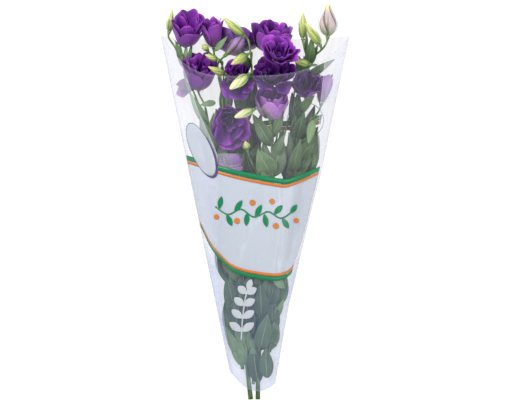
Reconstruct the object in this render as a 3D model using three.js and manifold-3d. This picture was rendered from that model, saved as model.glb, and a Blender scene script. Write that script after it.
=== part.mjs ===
// A retail bunch of five purple lisianthus stems in a printed clear film sleeve, lying on its back panel.
// Millimetres, +Z up. It lies on z = 0. The flowers point along +Y and the cut ends along -Y.
// The origin is on that surface, under the middle of the bunch.
import * as THREE from "three";
import { mergeVertices } from "three/addons/utils/BufferGeometryUtils.js";
import Module from "manifold-3d";

const wasm = await Module();
wasm.setup();

// Driving dimensions
const clearance = 0.35; // gap kept between neighbouring pieces
const petalThickness = 0.8;
const leafThickness = 0.8;
const filmThickness = 0.8;
const mainStemRadius = 2.7;
const branchRadius = 1.25;
const calyxRadius = 3.3;
const calyxHeight = 5.5;

// The sleeve is two film panels welded along both sides, wide at the mouth and narrow at the cut ends.
const sleeve = {
  mouthY: 262,
  footY: -272,
  footDrop: 19, // how far the rounded lower edge hangs below its corners
  mouthHalfWidth: 145,
  footHalfWidth: 35.5,
  mouthSeamZ: 36, // height of the side welds
  footSeamZ: 4.5,
  mouthTopZ: 110, // crown of the front panel
  footTopZ: 15,
  frontDipY: 194, // lowest point of the front panel's curved upper edge
  frontDipX: -25, // where it is lowest, left of the middle
  frontDipPower: 3.4,
  flatShare: 0.45, // share of the half width that lies flat on the table
  crownPower: 3.2, // how square the front panel's arch is
  backPower: 1.7, // how the back panel bends up to the welds
  weldInset: 2.5, // how much further the inside keeps from the welds than from the panels
};

const colours = {
  petal: 0x6d1a9c,
  budGreen: 0xd2d97a,
  budMauve: 0xb9a3b8,
  stem: 0x4f7d45,
  film: 0xe6e8f4,
};

const group = new THREE.Group();
const vec = (x, y, z) => new THREE.Vector3(x, y, z);
const mix = (a, b, share) => a + (b - a) * share;

// Solids from three.js geometry and back
function solidOf(geometry) {
  const bare = geometry.index ? geometry.toNonIndexed() : geometry.clone();
  for (const name of Object.keys(bare.attributes)) {
    if (name !== "position") bare.deleteAttribute(name);
  }
  const merged = mergeVertices(bare, 1e-4);
  return new wasm.Manifold(
    new wasm.Mesh({
      numProp: 3,
      vertProperties: merged.attributes.position.array,
      triVerts: new Uint32Array(merged.index.array),
    }),
  );
}

function geometryOf(solid) {
  const mesh = solid.getMesh();
  return new THREE.BufferGeometry()
    .setAttribute("position", new THREE.BufferAttribute(mesh.vertProperties, 3))
    .setIndex(new THREE.BufferAttribute(mesh.triVerts, 1));
}

const joined = (solids) => solids.reduce((whole, solid) => whole.add(solid));

// The bodies of a solid that grow from a stem.
const rootedIn = (stem, solid) => solid.decompose().filter((body) => body.intersect(stem).volume() > 0.01);

function addMesh(name, solid, colour, roughness, extra = {}) {
  const geometry = geometryOf(solid);
  geometry.computeVertexNormals();
  const material = new THREE.MeshStandardMaterial({ color: colour, roughness, metalness: 0, ...extra });
  const mesh = new THREE.Mesh(geometry, material);
  mesh.name = name;
  group.add(mesh);
}

// Maps every vertex of a geometry through a function of its position.
function reshaped(geometry, move) {
  const position = geometry.attributes.position;
  const point = new THREE.Vector3();
  for (let i = 0; i < position.count; i++) {
    point.fromBufferAttribute(position, i);
    const moved = move(point);
    position.setXYZ(i, moved.x, moved.y, moved.z);
  }
  return geometry;
}

// A closed blade over surface(u, v), u from -1 to 1 across and v from 0 to 1 along.
// Both faces are split into the same triangles, so that a waved blade's faces never cross.
function blade(surface, across, along, thickness, reach = 1) {
  const grid = new THREE.PlaneGeometry(2 * reach, 1, across, along);
  const face = grid.index.array;
  const sheet = grid.attributes.position;
  const step = 1e-3;
  const points = [];
  for (const side of [1, -1]) {
    for (let i = 0; i < sheet.count; i++) {
      const u = sheet.getX(i);
      const v = (sheet.getY(i) + 0.5) * (1 + (reach - 1) / 2);
      const middle = surface(u, v);
      const alongU = surface(u + step, v).sub(surface(u - step, v));
      const alongV = surface(u, v + step).sub(surface(u, Math.max(v - step, 0)));
      const normal = alongU.cross(alongV).normalize();
      points.push(...middle.addScaledVector(normal, (side * thickness) / 2).toArray());
    }
  }
  const count = sheet.count;
  const columns = across + 1;
  const triangles = [...face];
  for (let i = 0; i < face.length; i += 3) {
    triangles.push(face[i + 2] + count, face[i + 1] + count, face[i] + count);
  }
  const rim = [];
  for (let i = 0; i < across; i++) rim.push(i);
  for (let j = 0; j < along; j++) rim.push(j * columns + across);
  for (let i = across; i > 0; i--) rim.push(along * columns + i);
  for (let j = along; j > 0; j--) rim.push(j * columns);
  rim.forEach((a, k) => {
    const b = rim[(k + 1) % rim.length];
    triangles.push(a, b, b + count, a, b + count, a + count);
  });
  const geometry = new THREE.BufferGeometry()
    .setAttribute("position", new THREE.Float32BufferAttribute(points, 3))
    .setIndex(triangles);
  return solidOf(geometry);
}

// A round rod along a curve, with closed ends. Each ring is [share of the curve's length, radius].
function rod(curve, rings, sides, grow) {
  const steps = rings.length - 1;
  const frames = curve.computeFrenetFrames(steps);
  const cylinder = new THREE.CylinderGeometry(1, 1, steps, sides, steps).translate(0, steps / 2, 0);
  return solidOf(
    reshaped(cylinder, (p) => {
      const ring = Math.round(p.y);
      const [share, radius] = rings[ring];
      return curve
        .getPointAt(share)
        .addScaledVector(frames.normals[ring], p.z * (radius + grow))
        .addScaledVector(frames.binormals[ring], p.x * (radius + grow));
    }),
  );
}

// Turns a solid made round +Z to face a direction, and sets it down at a point.
function placed(solid, base, facing, turn = 0) {
  const spin = new THREE.Quaternion().setFromAxisAngle(vec(0, 0, 1), turn);
  const aim = new THREE.Quaternion().setFromUnitVectors(vec(0, 0, 1), facing);
  const matrix = new THREE.Matrix4().compose(base, aim.multiply(spin), vec(1, 1, 1));
  return solid.transform(matrix.elements);
}

// Blooms: the corolla is one piece, as on the real flower. Two nested bowls of five waved lobes each grow
// from one root, and every lobe is a petal. Each layer states its share of the rim radius and of the height,
// how far the lip turns out, its turn, its root's radius and height, and where along it rings of points lie.
const petalLayers = [
  { rim: 1, height: 0.94, flare: 0.22, turn: 0, root: [2.6, 0], rings: [0.35, 0.7, 1] },
  { rim: 0.62, height: 1, flare: 0.08, turn: 0.6, root: [1.8, 2], rings: [0.5, 1] },
];
const lobes = 5;
const lobeNotch = 0.24; // share of a petal's length that is cut in between two lobes
const lobeWave = 0.055;
const rootDepth = 1.5; // how far the bloom's foot reaches below its base point
const slimBelly = 0.62; // how full a bowl is low down, as a share of its rim radius
const smallRim = 20; // blooms with a smaller rim have fewer facets

// Radius and height of a petal's middle line at share s of its length.
function petalProfile(layer, { rim, height, belly = slimBelly }, s) {
  const reach = rim * layer.rim;
  const r = [layer.root[0], belly * reach, 0.92 * reach, reach * (1 + layer.flare)];
  const rise = height * layer.height;
  const z = [layer.root[1], layer.root[1] + 0.05 * height, 0.55 * rise, rise];
  const w = [(1 - s) ** 3, 3 * s * (1 - s) ** 2, 3 * s * s * (1 - s), s ** 3];
  const sum = (values) => values.reduce((total, value, i) => total + value * w[i], 0);
  return [sum(r), sum(z)];
}

// A point of the waved petal sheet at an angle round the bloom.
function petalPoint(layer, bloom, angle, share) {
  const inLobe = ((angle * lobes) / Math.PI) % 2;
  const u = Math.min(inLobe, 2 - inLobe); // 0 between two lobes, 1 in a lobe's middle
  const s = share * (1 - lobeNotch * (1 - u) ** 3);
  const [radius, rise] = petalProfile(layer, bloom, s);
  const wave = Math.cos(4 * Math.PI * u) * lobeWave * bloom.rim * s ** 3;
  const turned = angle + layer.turn;
  return vec((radius + wave) * Math.cos(turned), (radius + wave) * Math.sin(turned), rise - wave);
}

function petalFace(layer, bloom, angle, share, offset) {
  const step = 1e-3;
  const middle = petalPoint(layer, bloom, angle, share);
  const round = petalPoint(layer, bloom, angle + step, share).sub(petalPoint(layer, bloom, angle, share));
  const up = petalPoint(layer, bloom, angle, share).sub(petalPoint(layer, bloom, angle, share - step));
  return middle.addScaledVector(round.cross(up).normalize(), offset);
}

// Closes rings of points round an axis into one skin. Rings marked inner split their quads the other way,
// so that both faces of a petal have the same triangles.
function skin(rings, segments, first, last) {
  const points = rings.flatMap((ring) =>
    Array.from({ length: segments }, (_, i) => ring.at((i * 2 * Math.PI) / segments).toArray()).flat(),
  );
  const triangles = [];
  const foot = rings.length * segments;
  const heart = foot + 1;
  const top = (rings.length - 1) * segments;
  for (let i = 0; i < segments; i++) {
    const j = (i + 1) % segments;
    triangles.push(foot, j, i, heart, top + i, top + j);
    for (let k = 0; k + 1 < rings.length; k++) {
      const low = k * segments;
      const high = low + segments;
      const [a, b, c, d] = [low + i, low + j, high + j, high + i];
      triangles.push(...(rings[k].inner ? [a, b, d, b, c, d] : [a, b, c, a, c, d]));
    }
  }
  points.push(...first.toArray(), ...last.toArray());
  const geometry = new THREE.BufferGeometry()
    .setAttribute("position", new THREE.Float32BufferAttribute(points, 3))
    .setIndex(triangles);
  return solidOf(geometry);
}

function bloomSolid(bloom, grow) {
  const half = petalThickness / 2 + grow;
  const circle = (radius, rise) => (angle) => vec(radius * Math.cos(angle), radius * Math.sin(angle), rise);
  const rings = [{ at: circle(calyxRadius + grow, -rootDepth - grow) }];
  for (const layer of petalLayers) {
    const reach = 1 + grow / 20;
    for (const share of layer.rings) {
      rings.push({ at: (angle) => petalFace(layer, bloom, angle, share * reach, half) });
    }
    for (const share of [...layer.rings].reverse()) {
      rings.push({ inner: true, at: (angle) => petalFace(layer, bloom, angle, share * reach, -half) });
    }
    rings.push({ at: circle(layer.root[0], layer.root[1] + 1 + grow) });
  }
  const segments = bloom.rim < smallRim ? 15 : 20;
  const foot = vec(0, 0, -rootDepth - grow);
  const heart = vec(0, 0, petalLayers[1].root[1] + 1 + grow);
  const made = skin(rings, segments, foot, heart);
  return placed(made, bloom.base, bloom.facing, bloom.turn);
}

// Where each bloom's middle is, the way it faces, its rim radius and its height. It grows from a share of a
// stem's length, and its stalk may pass points on the way. A bowl with a high belly is full low down.
const bloomPlaces = [
  { heart: [-110, 266, 46], facing: [0.05, 0.7, 0.7], rim: 21, height: 44, belly: 0.85, turn: 0.3,
    stem: "a", from: 0.86, via: [[-113, 203, 25]] },
  { heart: [-66, 264, 42], facing: [-0.05, 0.92, 0.38], rim: 15.5, height: 42, turn: 1.1,
    stem: "b", from: 0.84, via: [[-50, 150, 14], [-60, 200, 20]] },
  { heart: [-25, 256, 32], facing: [0.05, 0.6, -0.75], rim: 27.5, height: 28, turn: 0.7,
    stem: "c", from: 0.9, via: [[-24, 200, 20], [-28, 228, 46]] },
  { heart: [27, 263, 44], facing: [0.1, 0.86, 0.45], rim: 25, height: 38, belly: 0.8, turn: 0.2,
    stem: "d", from: 0.72, via: [[42, 160, 14], [38, 212, 14]] },
  { heart: [35, 230, 90], facing: [0.1, 0.62, 0.78], rim: 23, height: 26, turn: 0.9,
    stem: "d", from: 0.8, via: [[57, 160, 18], [63, 206, 22], [65, 228, 54]] },
  { heart: [-89, 201, 34], facing: [0.1, 0.77, 0.63], rim: 22.5, height: 48, belly: 0.75, turn: 0.5,
    stem: "a", from: 1 },
  { heart: [-28, 201, 57], facing: [-0.05, 0.55, 0.82], rim: 16, height: 28, turn: 0.8,
    stem: "c", from: 1 },
  { heart: [25, 202, 58], facing: [0.05, 0.5, 0.85], rim: 25, height: 30, turn: 0,
    stem: "d", from: 0.76, via: [[34, 160, 12], [22, 195, 20]] },
  { heart: [27, 157, 48], facing: [0.05, 0.8, 0.6], rim: 26, height: 38, belly: 1.05, turn: 0.6,
    stem: "d", from: 1 },
  { heart: [-42, 124, 46], facing: [-0.05, -0.35, 0.93], rim: 27, height: 28, turn: 0.2,
    stem: "b", from: 1, via: [[-46, 116, 19]] },
  { heart: [-40, 64, 41], facing: [0.2, 0.75, 0.5], rim: 20, height: 30, belly: 0.8, turn: 1,
    stem: "b", from: 0.7 },
  { heart: [77, 180, 46], facing: [0.02, 0.64, 0.76], rim: 19.2, height: 32, turn: 0.4,
    stem: "e", from: 0.68 },
  { heart: [104.5, 181, 33], facing: [0.12, 0.98, 0.08], rim: 12.8, height: 44, turn: 0,
    stem: "e", from: 0.74 },
];

// Buds: where the middle is, the way the tip points, the length and the greatest radius.
const budPlaces = [
  { heart: [-136, 286, 42], facing: [0.15, 0.98, 0.1], length: 34, radius: 4.6, stem: "a", from: 0.9 },
  { heart: [-36, 272, 76], facing: [-0.76, 0.65, 0.1], length: 42, radius: 6,
    stem: "c", from: 0.92, via: [[-9, 188, 30], [-9, 230, 76]] },
  { heart: [72, 277, 52], facing: [0, 0.99, 0.1], length: 40, radius: 6.5, stem: "e", from: 0.96 },
  { heart: [86, 262, 66], facing: [-0.55, 0.8, 0.15], length: 40, radius: 6.5, stem: "e", from: 1 },
  { heart: [111, 285, 50], facing: [0.02, 0.99, 0.1], length: 50, radius: 12,
    stem: "e", from: 0.98, mauve: true },
  { heart: [-34, 242, 62], facing: [0.72, 0.66, 0.1], length: 36, radius: 7,
    stem: "b", from: 0.92, mauve: true, via: [[-56, 186, 34], [-60, 216, 50]] },
  { heart: [-62, 205, 70], facing: [-0.75, 0.3, 0.5], length: 30, radius: 5,
    stem: "b", from: 0.95, via: [[-40, 150, 16], [-46, 186, 44]] },
  { heart: [-27, 183, 108], facing: [-0.79, -0.61, 0.05], length: 34, radius: 7,
    stem: "c", from: 0.97, via: [[-8, 190, 34], [-7, 204, 90]] },
  { heart: [67, 216, 86], facing: [-0.95, 0.25, 0.15], length: 26, radius: 5, stem: "e", from: 0.95 },
  { heart: [-20, 138, 78], facing: [-0.9, -0.38, 0.1], length: 30, radius: 6, stem: "d", from: 0.9 },
  { heart: [-16, 91, 58], facing: [-0.2, 0.9, 0.3], length: 13, radius: 5.5, stem: "d", from: 0.7 },
  { heart: [-70, 226, 66], facing: [-0.9, 0.35, 0.1], length: 20, radius: 4.5,
    stem: "b", from: 0.9, via: [[-46, 150, 14], [-56, 200, 44]] },
  { heart: [-27, 219, 88], facing: [-0.8, -0.5, 0.1], length: 28, radius: 6.5,
    stem: "c", from: 0.944, via: [[-8, 192, 30], [-8, 220, 74]] },
  { heart: [-80, 243, 56], facing: [-0.5, 0.6, 0.6], length: 12, radius: 4.5,
    stem: "b", from: 0.88, via: [[-54, 150, 14], [-54, 218, 28]] },
];

// Middle lines of the main stems, from the cut end up. Their lowest stretches lie on the back panel.
const stemPaths = {
  a: [[-22, -262, 5.5], [-31, -200, 9], [-43, -100, 15], [-56, 0, 21], [-69, 90, 27], [-80, 150, 27]],
  b: [[-12, -310, 4], [-13, -262, 4], [-22, -150, 18], [-32, -40, 24], [-44, 40, 18], [-47, 95, 24]],
  c: [
    [-5, -286, 4], [-5, -262, 4], [-6, -150, 6], [-4, -40, 9], [-8, 60, 12], [-14, 140, 18],
    [-26, 184, 36],
  ],
  d: [[2, -310, 4], [3, -262, 4], [10, -150, 18], [18, -40, 30], [24, 60, 36], [24, 121, 39]],
  e: [
    [14, -272, 4], [17, -248, 4], [34, -150, 8], [48, -40, 12], [58, 60, 14], [64, 130, 14],
    [70, 180, 14], [78, 208, 18], [84, 226, 30],
  ],
};

// Names, bases and unit directions of the blooms and buds, worked out from their middles.
const blooms = bloomPlaces.map((place, i) => {
  const facing = vec(...place.facing).normalize();
  const base = vec(...place.heart).addScaledVector(facing, -place.height / 2);
  return { ...place, name: `bloom_${i + 1}`, facing, base };
});
const buds = budPlaces.map((place, i) => {
  const facing = vec(...place.facing).normalize();
  const base = vec(...place.heart).addScaledVector(facing, -place.length / 2);
  return { ...place, name: `bud_${i + 1}`, facing, base };
});

// A bud is a lathed spindle whose furled petals wind round it as five twisted ridges.
const budSides = 10;
const budSteps = 4;
const budTwist = 0.9;
const budRidge = 0.09;
const budFootRadius = 1.8;
const budTipRadius = 0.5;
const budPetal = 1.2; // the swell stands this much inside the bud's stated radius, which its ridges reach

function budRadius(bud, share) {
  const swell = Math.sin(Math.PI * share ** 0.7) ** 0.9;
  return budFootRadius * (1 - share) + budTipRadius * share + (bud.radius - budPetal) * swell;
}

function budSolid(bud, grow) {
  const profile = [new THREE.Vector2(0, -grow)];
  for (let i = 0; i <= budSteps; i++) {
    const share = i / budSteps;
    profile.push(new THREE.Vector2(budRadius(bud, share) + grow, bud.length * share));
  }
  profile.push(new THREE.Vector2(0, bud.length + grow));
  const lathe = new THREE.LatheGeometry(profile, budSides).rotateX(Math.PI / 2);
  reshaped(lathe, (p) => {
    const angle = Math.atan2(p.y, p.x);
    const radius = Math.hypot(p.x, p.y) * (1 + budRidge * Math.cos((angle * budSides) / 2));
    const turned = angle + (budTwist * p.z) / bud.length;
    return vec(radius * Math.cos(turned), radius * Math.sin(turned), p.z);
  });
  return placed(solidOf(lathe), bud.base, bud.facing);
}

// Stems and their branches. A branch flares at its end into the calyx cup, which holds a bloom or a bud.
const curveThrough = (points) => new THREE.CatmullRomCurve3(points, false, "centripetal");
const stemCurve = (letter) => curveThrough(stemPaths[letter].map((point) => vec(...point)));
const isBloom = (head) => head.rim !== undefined;
const calyxTop = (head) => (isBloom(head) ? -rootDepth : 0) - clearance;
const neckLength = calyxHeight * 1.5; // straight run of a stalk under what it holds
const branchEase = 0.4; // share of its length over which a short branch keeps to its stem's direction

function branchCurve(stem, head) {
  const root = stem.getPointAt(Math.min(head.from, 0.999));
  const away = stem.getTangentAt(Math.min(head.from, 0.999));
  const seat = head.base.clone().addScaledVector(head.facing, calyxTop(head));
  const neck = seat.clone().addScaledVector(head.facing, -neckLength);
  const length = seat.distanceTo(root);
  const via = (head.via ?? []).map((p) => vec(...p));
  return via.length
    ? curveThrough([root, ...via, neck, seat])
    : new THREE.CubicBezierCurve3(
        root,
        root.clone().addScaledVector(away, length * branchEase),
        seat.clone().addScaledVector(head.facing, -length * branchEase),
        seat,
      );
}

function branchSolid(stem, head, grow) {
  const curve = branchCurve(stem, head);
  const cup = 1 - calyxHeight / curve.getLength();
  const steps = head.via ? 6 : 3;
  const rings = Array.from({ length: steps + 1 }, (_, i) => [(cup * i) / steps, branchRadius]);
  rings.push([1, calyxRadius]);
  return rod(curve, rings, 5, grow);
}

const sepalCount = 3;
const sepalRadius = 0.9;
const sepalGap = 3; // from a petal's middle line to a sepal's

// Sepals are narrow and pointed, and follow the outside of what they hold at a clear distance.
function sepalCurve(head, turn) {
  const side = (radius, rise) => vec(radius * Math.cos(turn), radius * Math.sin(turn), rise);
  const foot = side(1.6, calyxTop(head) - 2.4);
  if (!isBloom(head)) {
    const reach = (share, gap) => side(budRadius(head, share) * (1 + budRidge) + gap, head.length * share);
    return new THREE.CatmullRomCurve3([foot, reach(0.08, 1.9), reach(0.3, 1.6), reach(0.5, 2)]);
  }
  const points = [0.12, 0.25, 0.4].map((s) => {
    const [r0, z0] = petalProfile(petalLayers[0], head, s);
    const [r1, z1] = petalProfile(petalLayers[0], head, s + 0.01);
    const slope = Math.hypot(r1 - r0, z1 - z0);
    return side(r0 + (sepalGap * (z1 - z0)) / slope, z0 - (sepalGap * (r1 - r0)) / slope);
  });
  return new THREE.CatmullRomCurve3([foot, ...points]);
}

function sepalSolids(head, grow) {
  return Array.from({ length: sepalCount }, (_, i) => {
    const curve = sepalCurve(head, ((i + 0.5) * 2 * Math.PI) / sepalCount);
    const sepal = rod(curve, [[0, sepalRadius], [0.5, sepalRadius], [1, 0.3]], 3, grow);
    return placed(sepal, head.base, head.facing, head.turn ?? 0);
  });
}

const stemSteps = 13;
const stemTaper = 0.3; // share of its radius that a stem loses to its top

function stemRods(letter, grow) {
  const curve = stemCurve(letter);
  const heads = [...blooms, ...buds].filter((head) => head.stem === letter);
  const rings = Array.from({ length: stemSteps + 1 }, (_, i) => {
    const share = i / stemSteps;
    return [share, mainStemRadius * (1 - stemTaper * share)];
  });
  const branches = heads.flatMap((head) => [branchSolid(curve, head, grow), ...sepalSolids(head, grow)]);
  return joined([rod(curve, rings, 5, grow), ...branches]);
}

// Leaves: pointed ovals with a folded midrib and a slightly waved edge, held in by the film. Each row is the
// share of the stem's length, the side (+1 right, -1 left), the lean away from the stem, the rise towards the
// front, the length and the width.
const leafPlaces = {
  a: [
    [0.1, 1, 0.1, 0.05, 58, 18], [0.22, -1, 0.1, 0, 60, 22], [0.36, 1, 0.22, 0.1, 66, 26],
    [0.48, -1, 0.16, 0, 62, 26], [0.6, 1, 0.3, 0.1, 60, 26], [0.74, -1, 0.12, 0.05, 58, 22],
    [0.86, 1, 0.35, 0.2, 50, 20],
  ],
  b: [
    [0.2, -1, 0.14, 0.15, 62, 22], [0.34, 1, 0.2, 0.2, 64, 24], [0.46, -1, 0.22, 0.2, 64, 26],
    [0.6, 1, 0.2, 0.25, 66, 28], [0.72, -1, 0.25, 0.25, 50, 24],
  ],
  c: [
    [0.3, -1, 0.15, 0, 64, 26], [0.42, 1, 0.2, 0, 62, 28], [0.55, -1, 0.2, 0.05, 64, 28],
    [0.68, 1, 0.22, 0.1, 60, 28], [0.8, -1, 0.2, 0, 50, 22],
  ],
  d: [
    [0.18, 1, 0.16, 0.15, 64, 24], [0.3, -1, 0.1, 0.2, 60, 22], [0.42, 1, 0.2, 0.2, 66, 28],
    [0.56, 1, 0.3, 0.2, 68, 32], [0.7, -1, 0.25, 0.25, 64, 32], [0.82, 1, 0.3, 0.15, 58, 28],
  ],
  e: [
    [0.08, 1, 0.1, 0.05, 58, 26], [0.22, 1, 0.12, 0.05, 62, 26], [0.36, -1, 0.16, 0.1, 60, 26],
    [0.48, 1, 0.2, 0.1, 64, 28], [0.6, 1, 0.18, 0.15, 62, 26], [0.7, 1, 0.3, 0.15, 60, 24],
    [0.8, -1, 0.1, 0.2, 44, 16],
  ],
};
const leafFold = 0.16; // how far the halves rise from the midrib, for each unit of width
const leafWave = 0.5;
const leafArch = 0.07; // how far the middle bows up, as a share of the length
const leafFoot = 0.22; // width at the stem, as a share of the full width

function leafSurface(letter, [share, side, lean, rise, length, width]) {
  const curve = stemCurve(letter);
  const root = curve.getPointAt(share);
  const forward = curve.getTangentAt(share);
  const right = forward.clone().cross(vec(0, 0, 1)).normalize();
  const along = forward
    .multiplyScalar(Math.cos(lean))
    .addScaledVector(right, side * Math.sin(lean))
    .add(vec(0, 0, rise))
    .normalize();
  const across = along.clone().cross(vec(0, 0, 1)).normalize();
  const up = across.clone().cross(along);
  return (u, v) => {
    const belly = Math.max(0, Math.sin(Math.PI * v ** 0.8)) ** 0.9;
    const half = (width / 2) * (Math.max(0, leafFoot * (1 - v)) + 0.98 * belly) + 0.3;
    const arch = length * leafArch * Math.sin(Math.PI * v);
    const wave = leafWave * Math.sin(4 * Math.PI * v + u) * Math.abs(u);
    return root
      .clone()
      .addScaledVector(along, v * length)
      .addScaledVector(across, u * half)
      .addScaledVector(up, arch + Math.abs(u) * half * leafFold + wave);
  };
}

const leafSolid = (letter, row, grow) =>
  blade(leafSurface(letter, row), 2, 3, leafThickness + 2 * grow, 1 + grow / 8);

// The film sleeve's lens-shaped cross-section at any y: an arched front panel over a flat back panel.
function sleeveSection(y, inset) {
  const share = (y - sleeve.footY) / (sleeve.mouthY - sleeve.footY);
  const half = mix(sleeve.footHalfWidth, sleeve.mouthHalfWidth, share);
  const seam = mix(sleeve.footSeamZ, sleeve.mouthSeamZ, share);
  const crown = mix(sleeve.footTopZ, sleeve.mouthTopZ, share);
  const bend = (x) => Math.max(0, Math.abs(x / half) - sleeve.flatShare) / (1 - sleeve.flatShare);
  return {
    half: half - sleeve.weldInset * inset,
    front: (x) => seam + (crown - seam) * (1 - Math.abs(x / half) ** sleeve.crownPower) - inset,
    back: (x) => seam * bend(x) ** sleeve.backPower + inset,
  };
}

// A closed loft of the cross-section from one y to another. Film lies along straight lines, so there are no
// rings between.
function sleeveLoft(fromY, toY, inset) {
  const tube = new THREE.CylinderGeometry(1, 1, 1, 28, 1).translate(0, 0.5, 0);
  return solidOf(
    reshaped(tube, (p) => {
      const y = mix(fromY, toY, p.y);
      const section = sleeveSection(y, inset);
      const x = p.x * section.half;
      const centre = Math.hypot(p.x, p.z) < 0.5;
      const z = p.z > 0 || Math.abs(p.z) < 1e-6 ? section.front(x) : section.back(x);
      return vec(x, y, centre ? (section.front(0) + section.back(0)) / 2 : z);
    }),
  );
}

// The front panel's upper edge rises from its dip to the mouth's height at both welds.
function frontEdgeY(x) {
  const { frontDipX, frontDipY, frontDipPower, mouthHalfWidth, mouthY } = sleeve;
  const reach = mouthHalfWidth + Math.sign(frontDipX - x) * frontDipX;
  return mix(frontDipY, mouthY, (Math.abs(x - frontDipX) / reach) ** frontDipPower);
}

const footEdgeY = (x) => sleeve.footY - sleeve.footDrop * (1 - (x / sleeve.footHalfWidth) ** 2);

// A slab under or over a curve y(x), used to trim the film's ends.
function trimSlab(edgeY, halfWidth, farY, fromZ, toZ) {
  const outline = new THREE.Shape();
  const steps = 10;
  outline.moveTo(-halfWidth, farY);
  for (let i = 0; i <= steps; i++) {
    const x = halfWidth * ((2 * i) / steps - 1);
    outline.lineTo(x, edgeY(x));
  }
  outline.lineTo(halfWidth, farY);
  const slab = new THREE.ExtrudeGeometry(outline, { depth: toZ - fromZ, bevelEnabled: false });
  return solidOf(slab.translate(0, 0, fromZ));
}

function sleeveSolid() {
  const { mouthHalfWidth, mouthY, mouthSeamZ, footHalfWidth, footY, footDrop } = sleeve;
  const footEnd = footY - footDrop - 1;
  const outer = sleeveLoft(footEnd, mouthY, 0);
  const inner = sleeveLoft(footEnd - 5, mouthY + 5, filmThickness);
  const mouthTrim = trimSlab(frontEdgeY, mouthHalfWidth + 1, mouthY + 10, mouthSeamZ, 200);
  const footTrim = trimSlab(footEdgeY, footHalfWidth + 1, footEnd - 10, -10, 100);
  return outer.subtract(inner).subtract(mouthTrim).subtract(footTrim);
}

// The room inside the film, carried on past the mouth, that leaves must stay in.
const roomInside = sleeveLoft(sleeve.footY - 60, sleeve.mouthY + 150, filmThickness + clearance);

for (const bloom of blooms) {
  addMesh(bloom.name, bloomSolid(bloom, 0), colours.petal, 0.55);
}
for (const bud of buds) {
  addMesh(bud.name, budSolid(bud, 0), bud.mauve ? colours.budMauve : colours.budGreen, 0.6);
}

// A leaf that would cross a neighbour is notched round it, and what the notch cuts off is dropped.
const letters = Object.keys(stemPaths);
const rods = Object.fromEntries(letters.map((letter) => [letter, stemRods(letter, 0)]));
const keepOut = {
  heads: [
    ...blooms.map((bloom) => bloomSolid(bloom, clearance)),
    ...buds.map((bud) => budSolid(bud, clearance)),
  ],
  rods: Object.fromEntries(letters.map((letter) => [letter, stemRods(letter, clearance)])),
  leaves: Object.fromEntries(letters.map((letter) => [letter, []])),
};

for (const letter of letters) {
  const others = letters.filter((other) => other !== letter);
  const obstacles = [
    ...keepOut.heads,
    ...others.map((other) => keepOut.rods[other]),
    ...others.flatMap((other) => keepOut.leaves[other]),
  ];
  const leaves = leafPlaces[letter].flatMap((row) => {
    const whole = leafSolid(letter, row, 0).intersect(roomInside);
    keepOut.leaves[letter].push(leafSolid(letter, row, clearance));
    return rootedIn(rods[letter], obstacles.reduce((rest, obstacle) => rest.subtract(obstacle), whole));
  });
  addMesh(`stem_${letter}`, joined([rods[letter], ...leaves]), colours.stem, 0.6);
}

addMesh("sleeve", sleeveSolid(), colours.film, 0.15, { transparent: true, opacity: 0.3 });

export default group;
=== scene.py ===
import math
import random

import bmesh
import bpy
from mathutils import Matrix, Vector, noise


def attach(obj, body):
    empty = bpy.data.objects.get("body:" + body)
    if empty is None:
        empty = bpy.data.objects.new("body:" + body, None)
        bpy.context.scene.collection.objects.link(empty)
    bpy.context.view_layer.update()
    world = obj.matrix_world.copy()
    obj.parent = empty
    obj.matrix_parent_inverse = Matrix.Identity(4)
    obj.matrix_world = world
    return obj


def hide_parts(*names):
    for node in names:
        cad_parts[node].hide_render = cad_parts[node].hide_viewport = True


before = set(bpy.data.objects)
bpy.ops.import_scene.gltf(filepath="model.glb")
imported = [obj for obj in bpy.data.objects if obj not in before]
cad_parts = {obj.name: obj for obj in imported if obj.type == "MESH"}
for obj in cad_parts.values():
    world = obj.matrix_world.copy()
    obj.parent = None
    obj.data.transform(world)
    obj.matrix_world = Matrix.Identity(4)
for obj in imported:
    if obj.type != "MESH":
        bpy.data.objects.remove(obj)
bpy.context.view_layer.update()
scene = bpy.context.scene
mm = 0.001  # sizes and places below are in millimetres, and meshes are in metres
fullTurn = 6.28  # angles are drawn at random up to this
up = Vector((0, 0, 1))
print("frame loaded:", len(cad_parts), "nodes")


# Shared helpers

def mix(a, b, share):
    return a + (b - a) * share


def clamp(value, low, high):
    return max(low, min(high, value))


def smooth(value):
    t = clamp(value, 0, 1)
    return t * t * (3 - 2 * t)


def curveAt(points, x):
    # reads y off a list of (x, y) pairs joined by straight lines
    if x <= points[0][0]:
        return points[0][1]
    for (x0, y0), (x1, y1) in zip(points, points[1:]):
        if x <= x1:
            return mix(y0, y1, (x - x0) / (x1 - x0))
    return points[-1][1]


def routeThrough(points, perSpan=10):
    # a smooth line through hand-set points
    given = [Vector(p) for p in points]
    padded = [2 * given[0] - given[1], *given, 2 * given[-1] - given[-2]]
    line = []
    for p0, p1, p2, p3 in zip(padded, padded[1:], padded[2:], padded[3:]):
        d0, d1, d2 = (max((b - a).length, 1e-6) ** 0.5 for a, b in ((p0, p1), (p1, p2), (p2, p3)))
        m1 = ((p1 - p0) / d0 - (p2 - p0) / (d0 + d1) + (p2 - p1) / d1) * d1
        m2 = ((p2 - p1) / d1 - (p3 - p1) / (d1 + d2) + (p3 - p2) / d2) * d1
        for i in range(perSpan):
            t = i / perSpan
            line.append(
                p1 * (2 * t**3 - 3 * t**2 + 1)
                + m1 * (t**3 - 2 * t**2 + t)
                + p2 * (3 * t**2 - 2 * t**3)
                + m2 * (t**3 - t**2)
            )
    return [*line, given[-1]]


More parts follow.
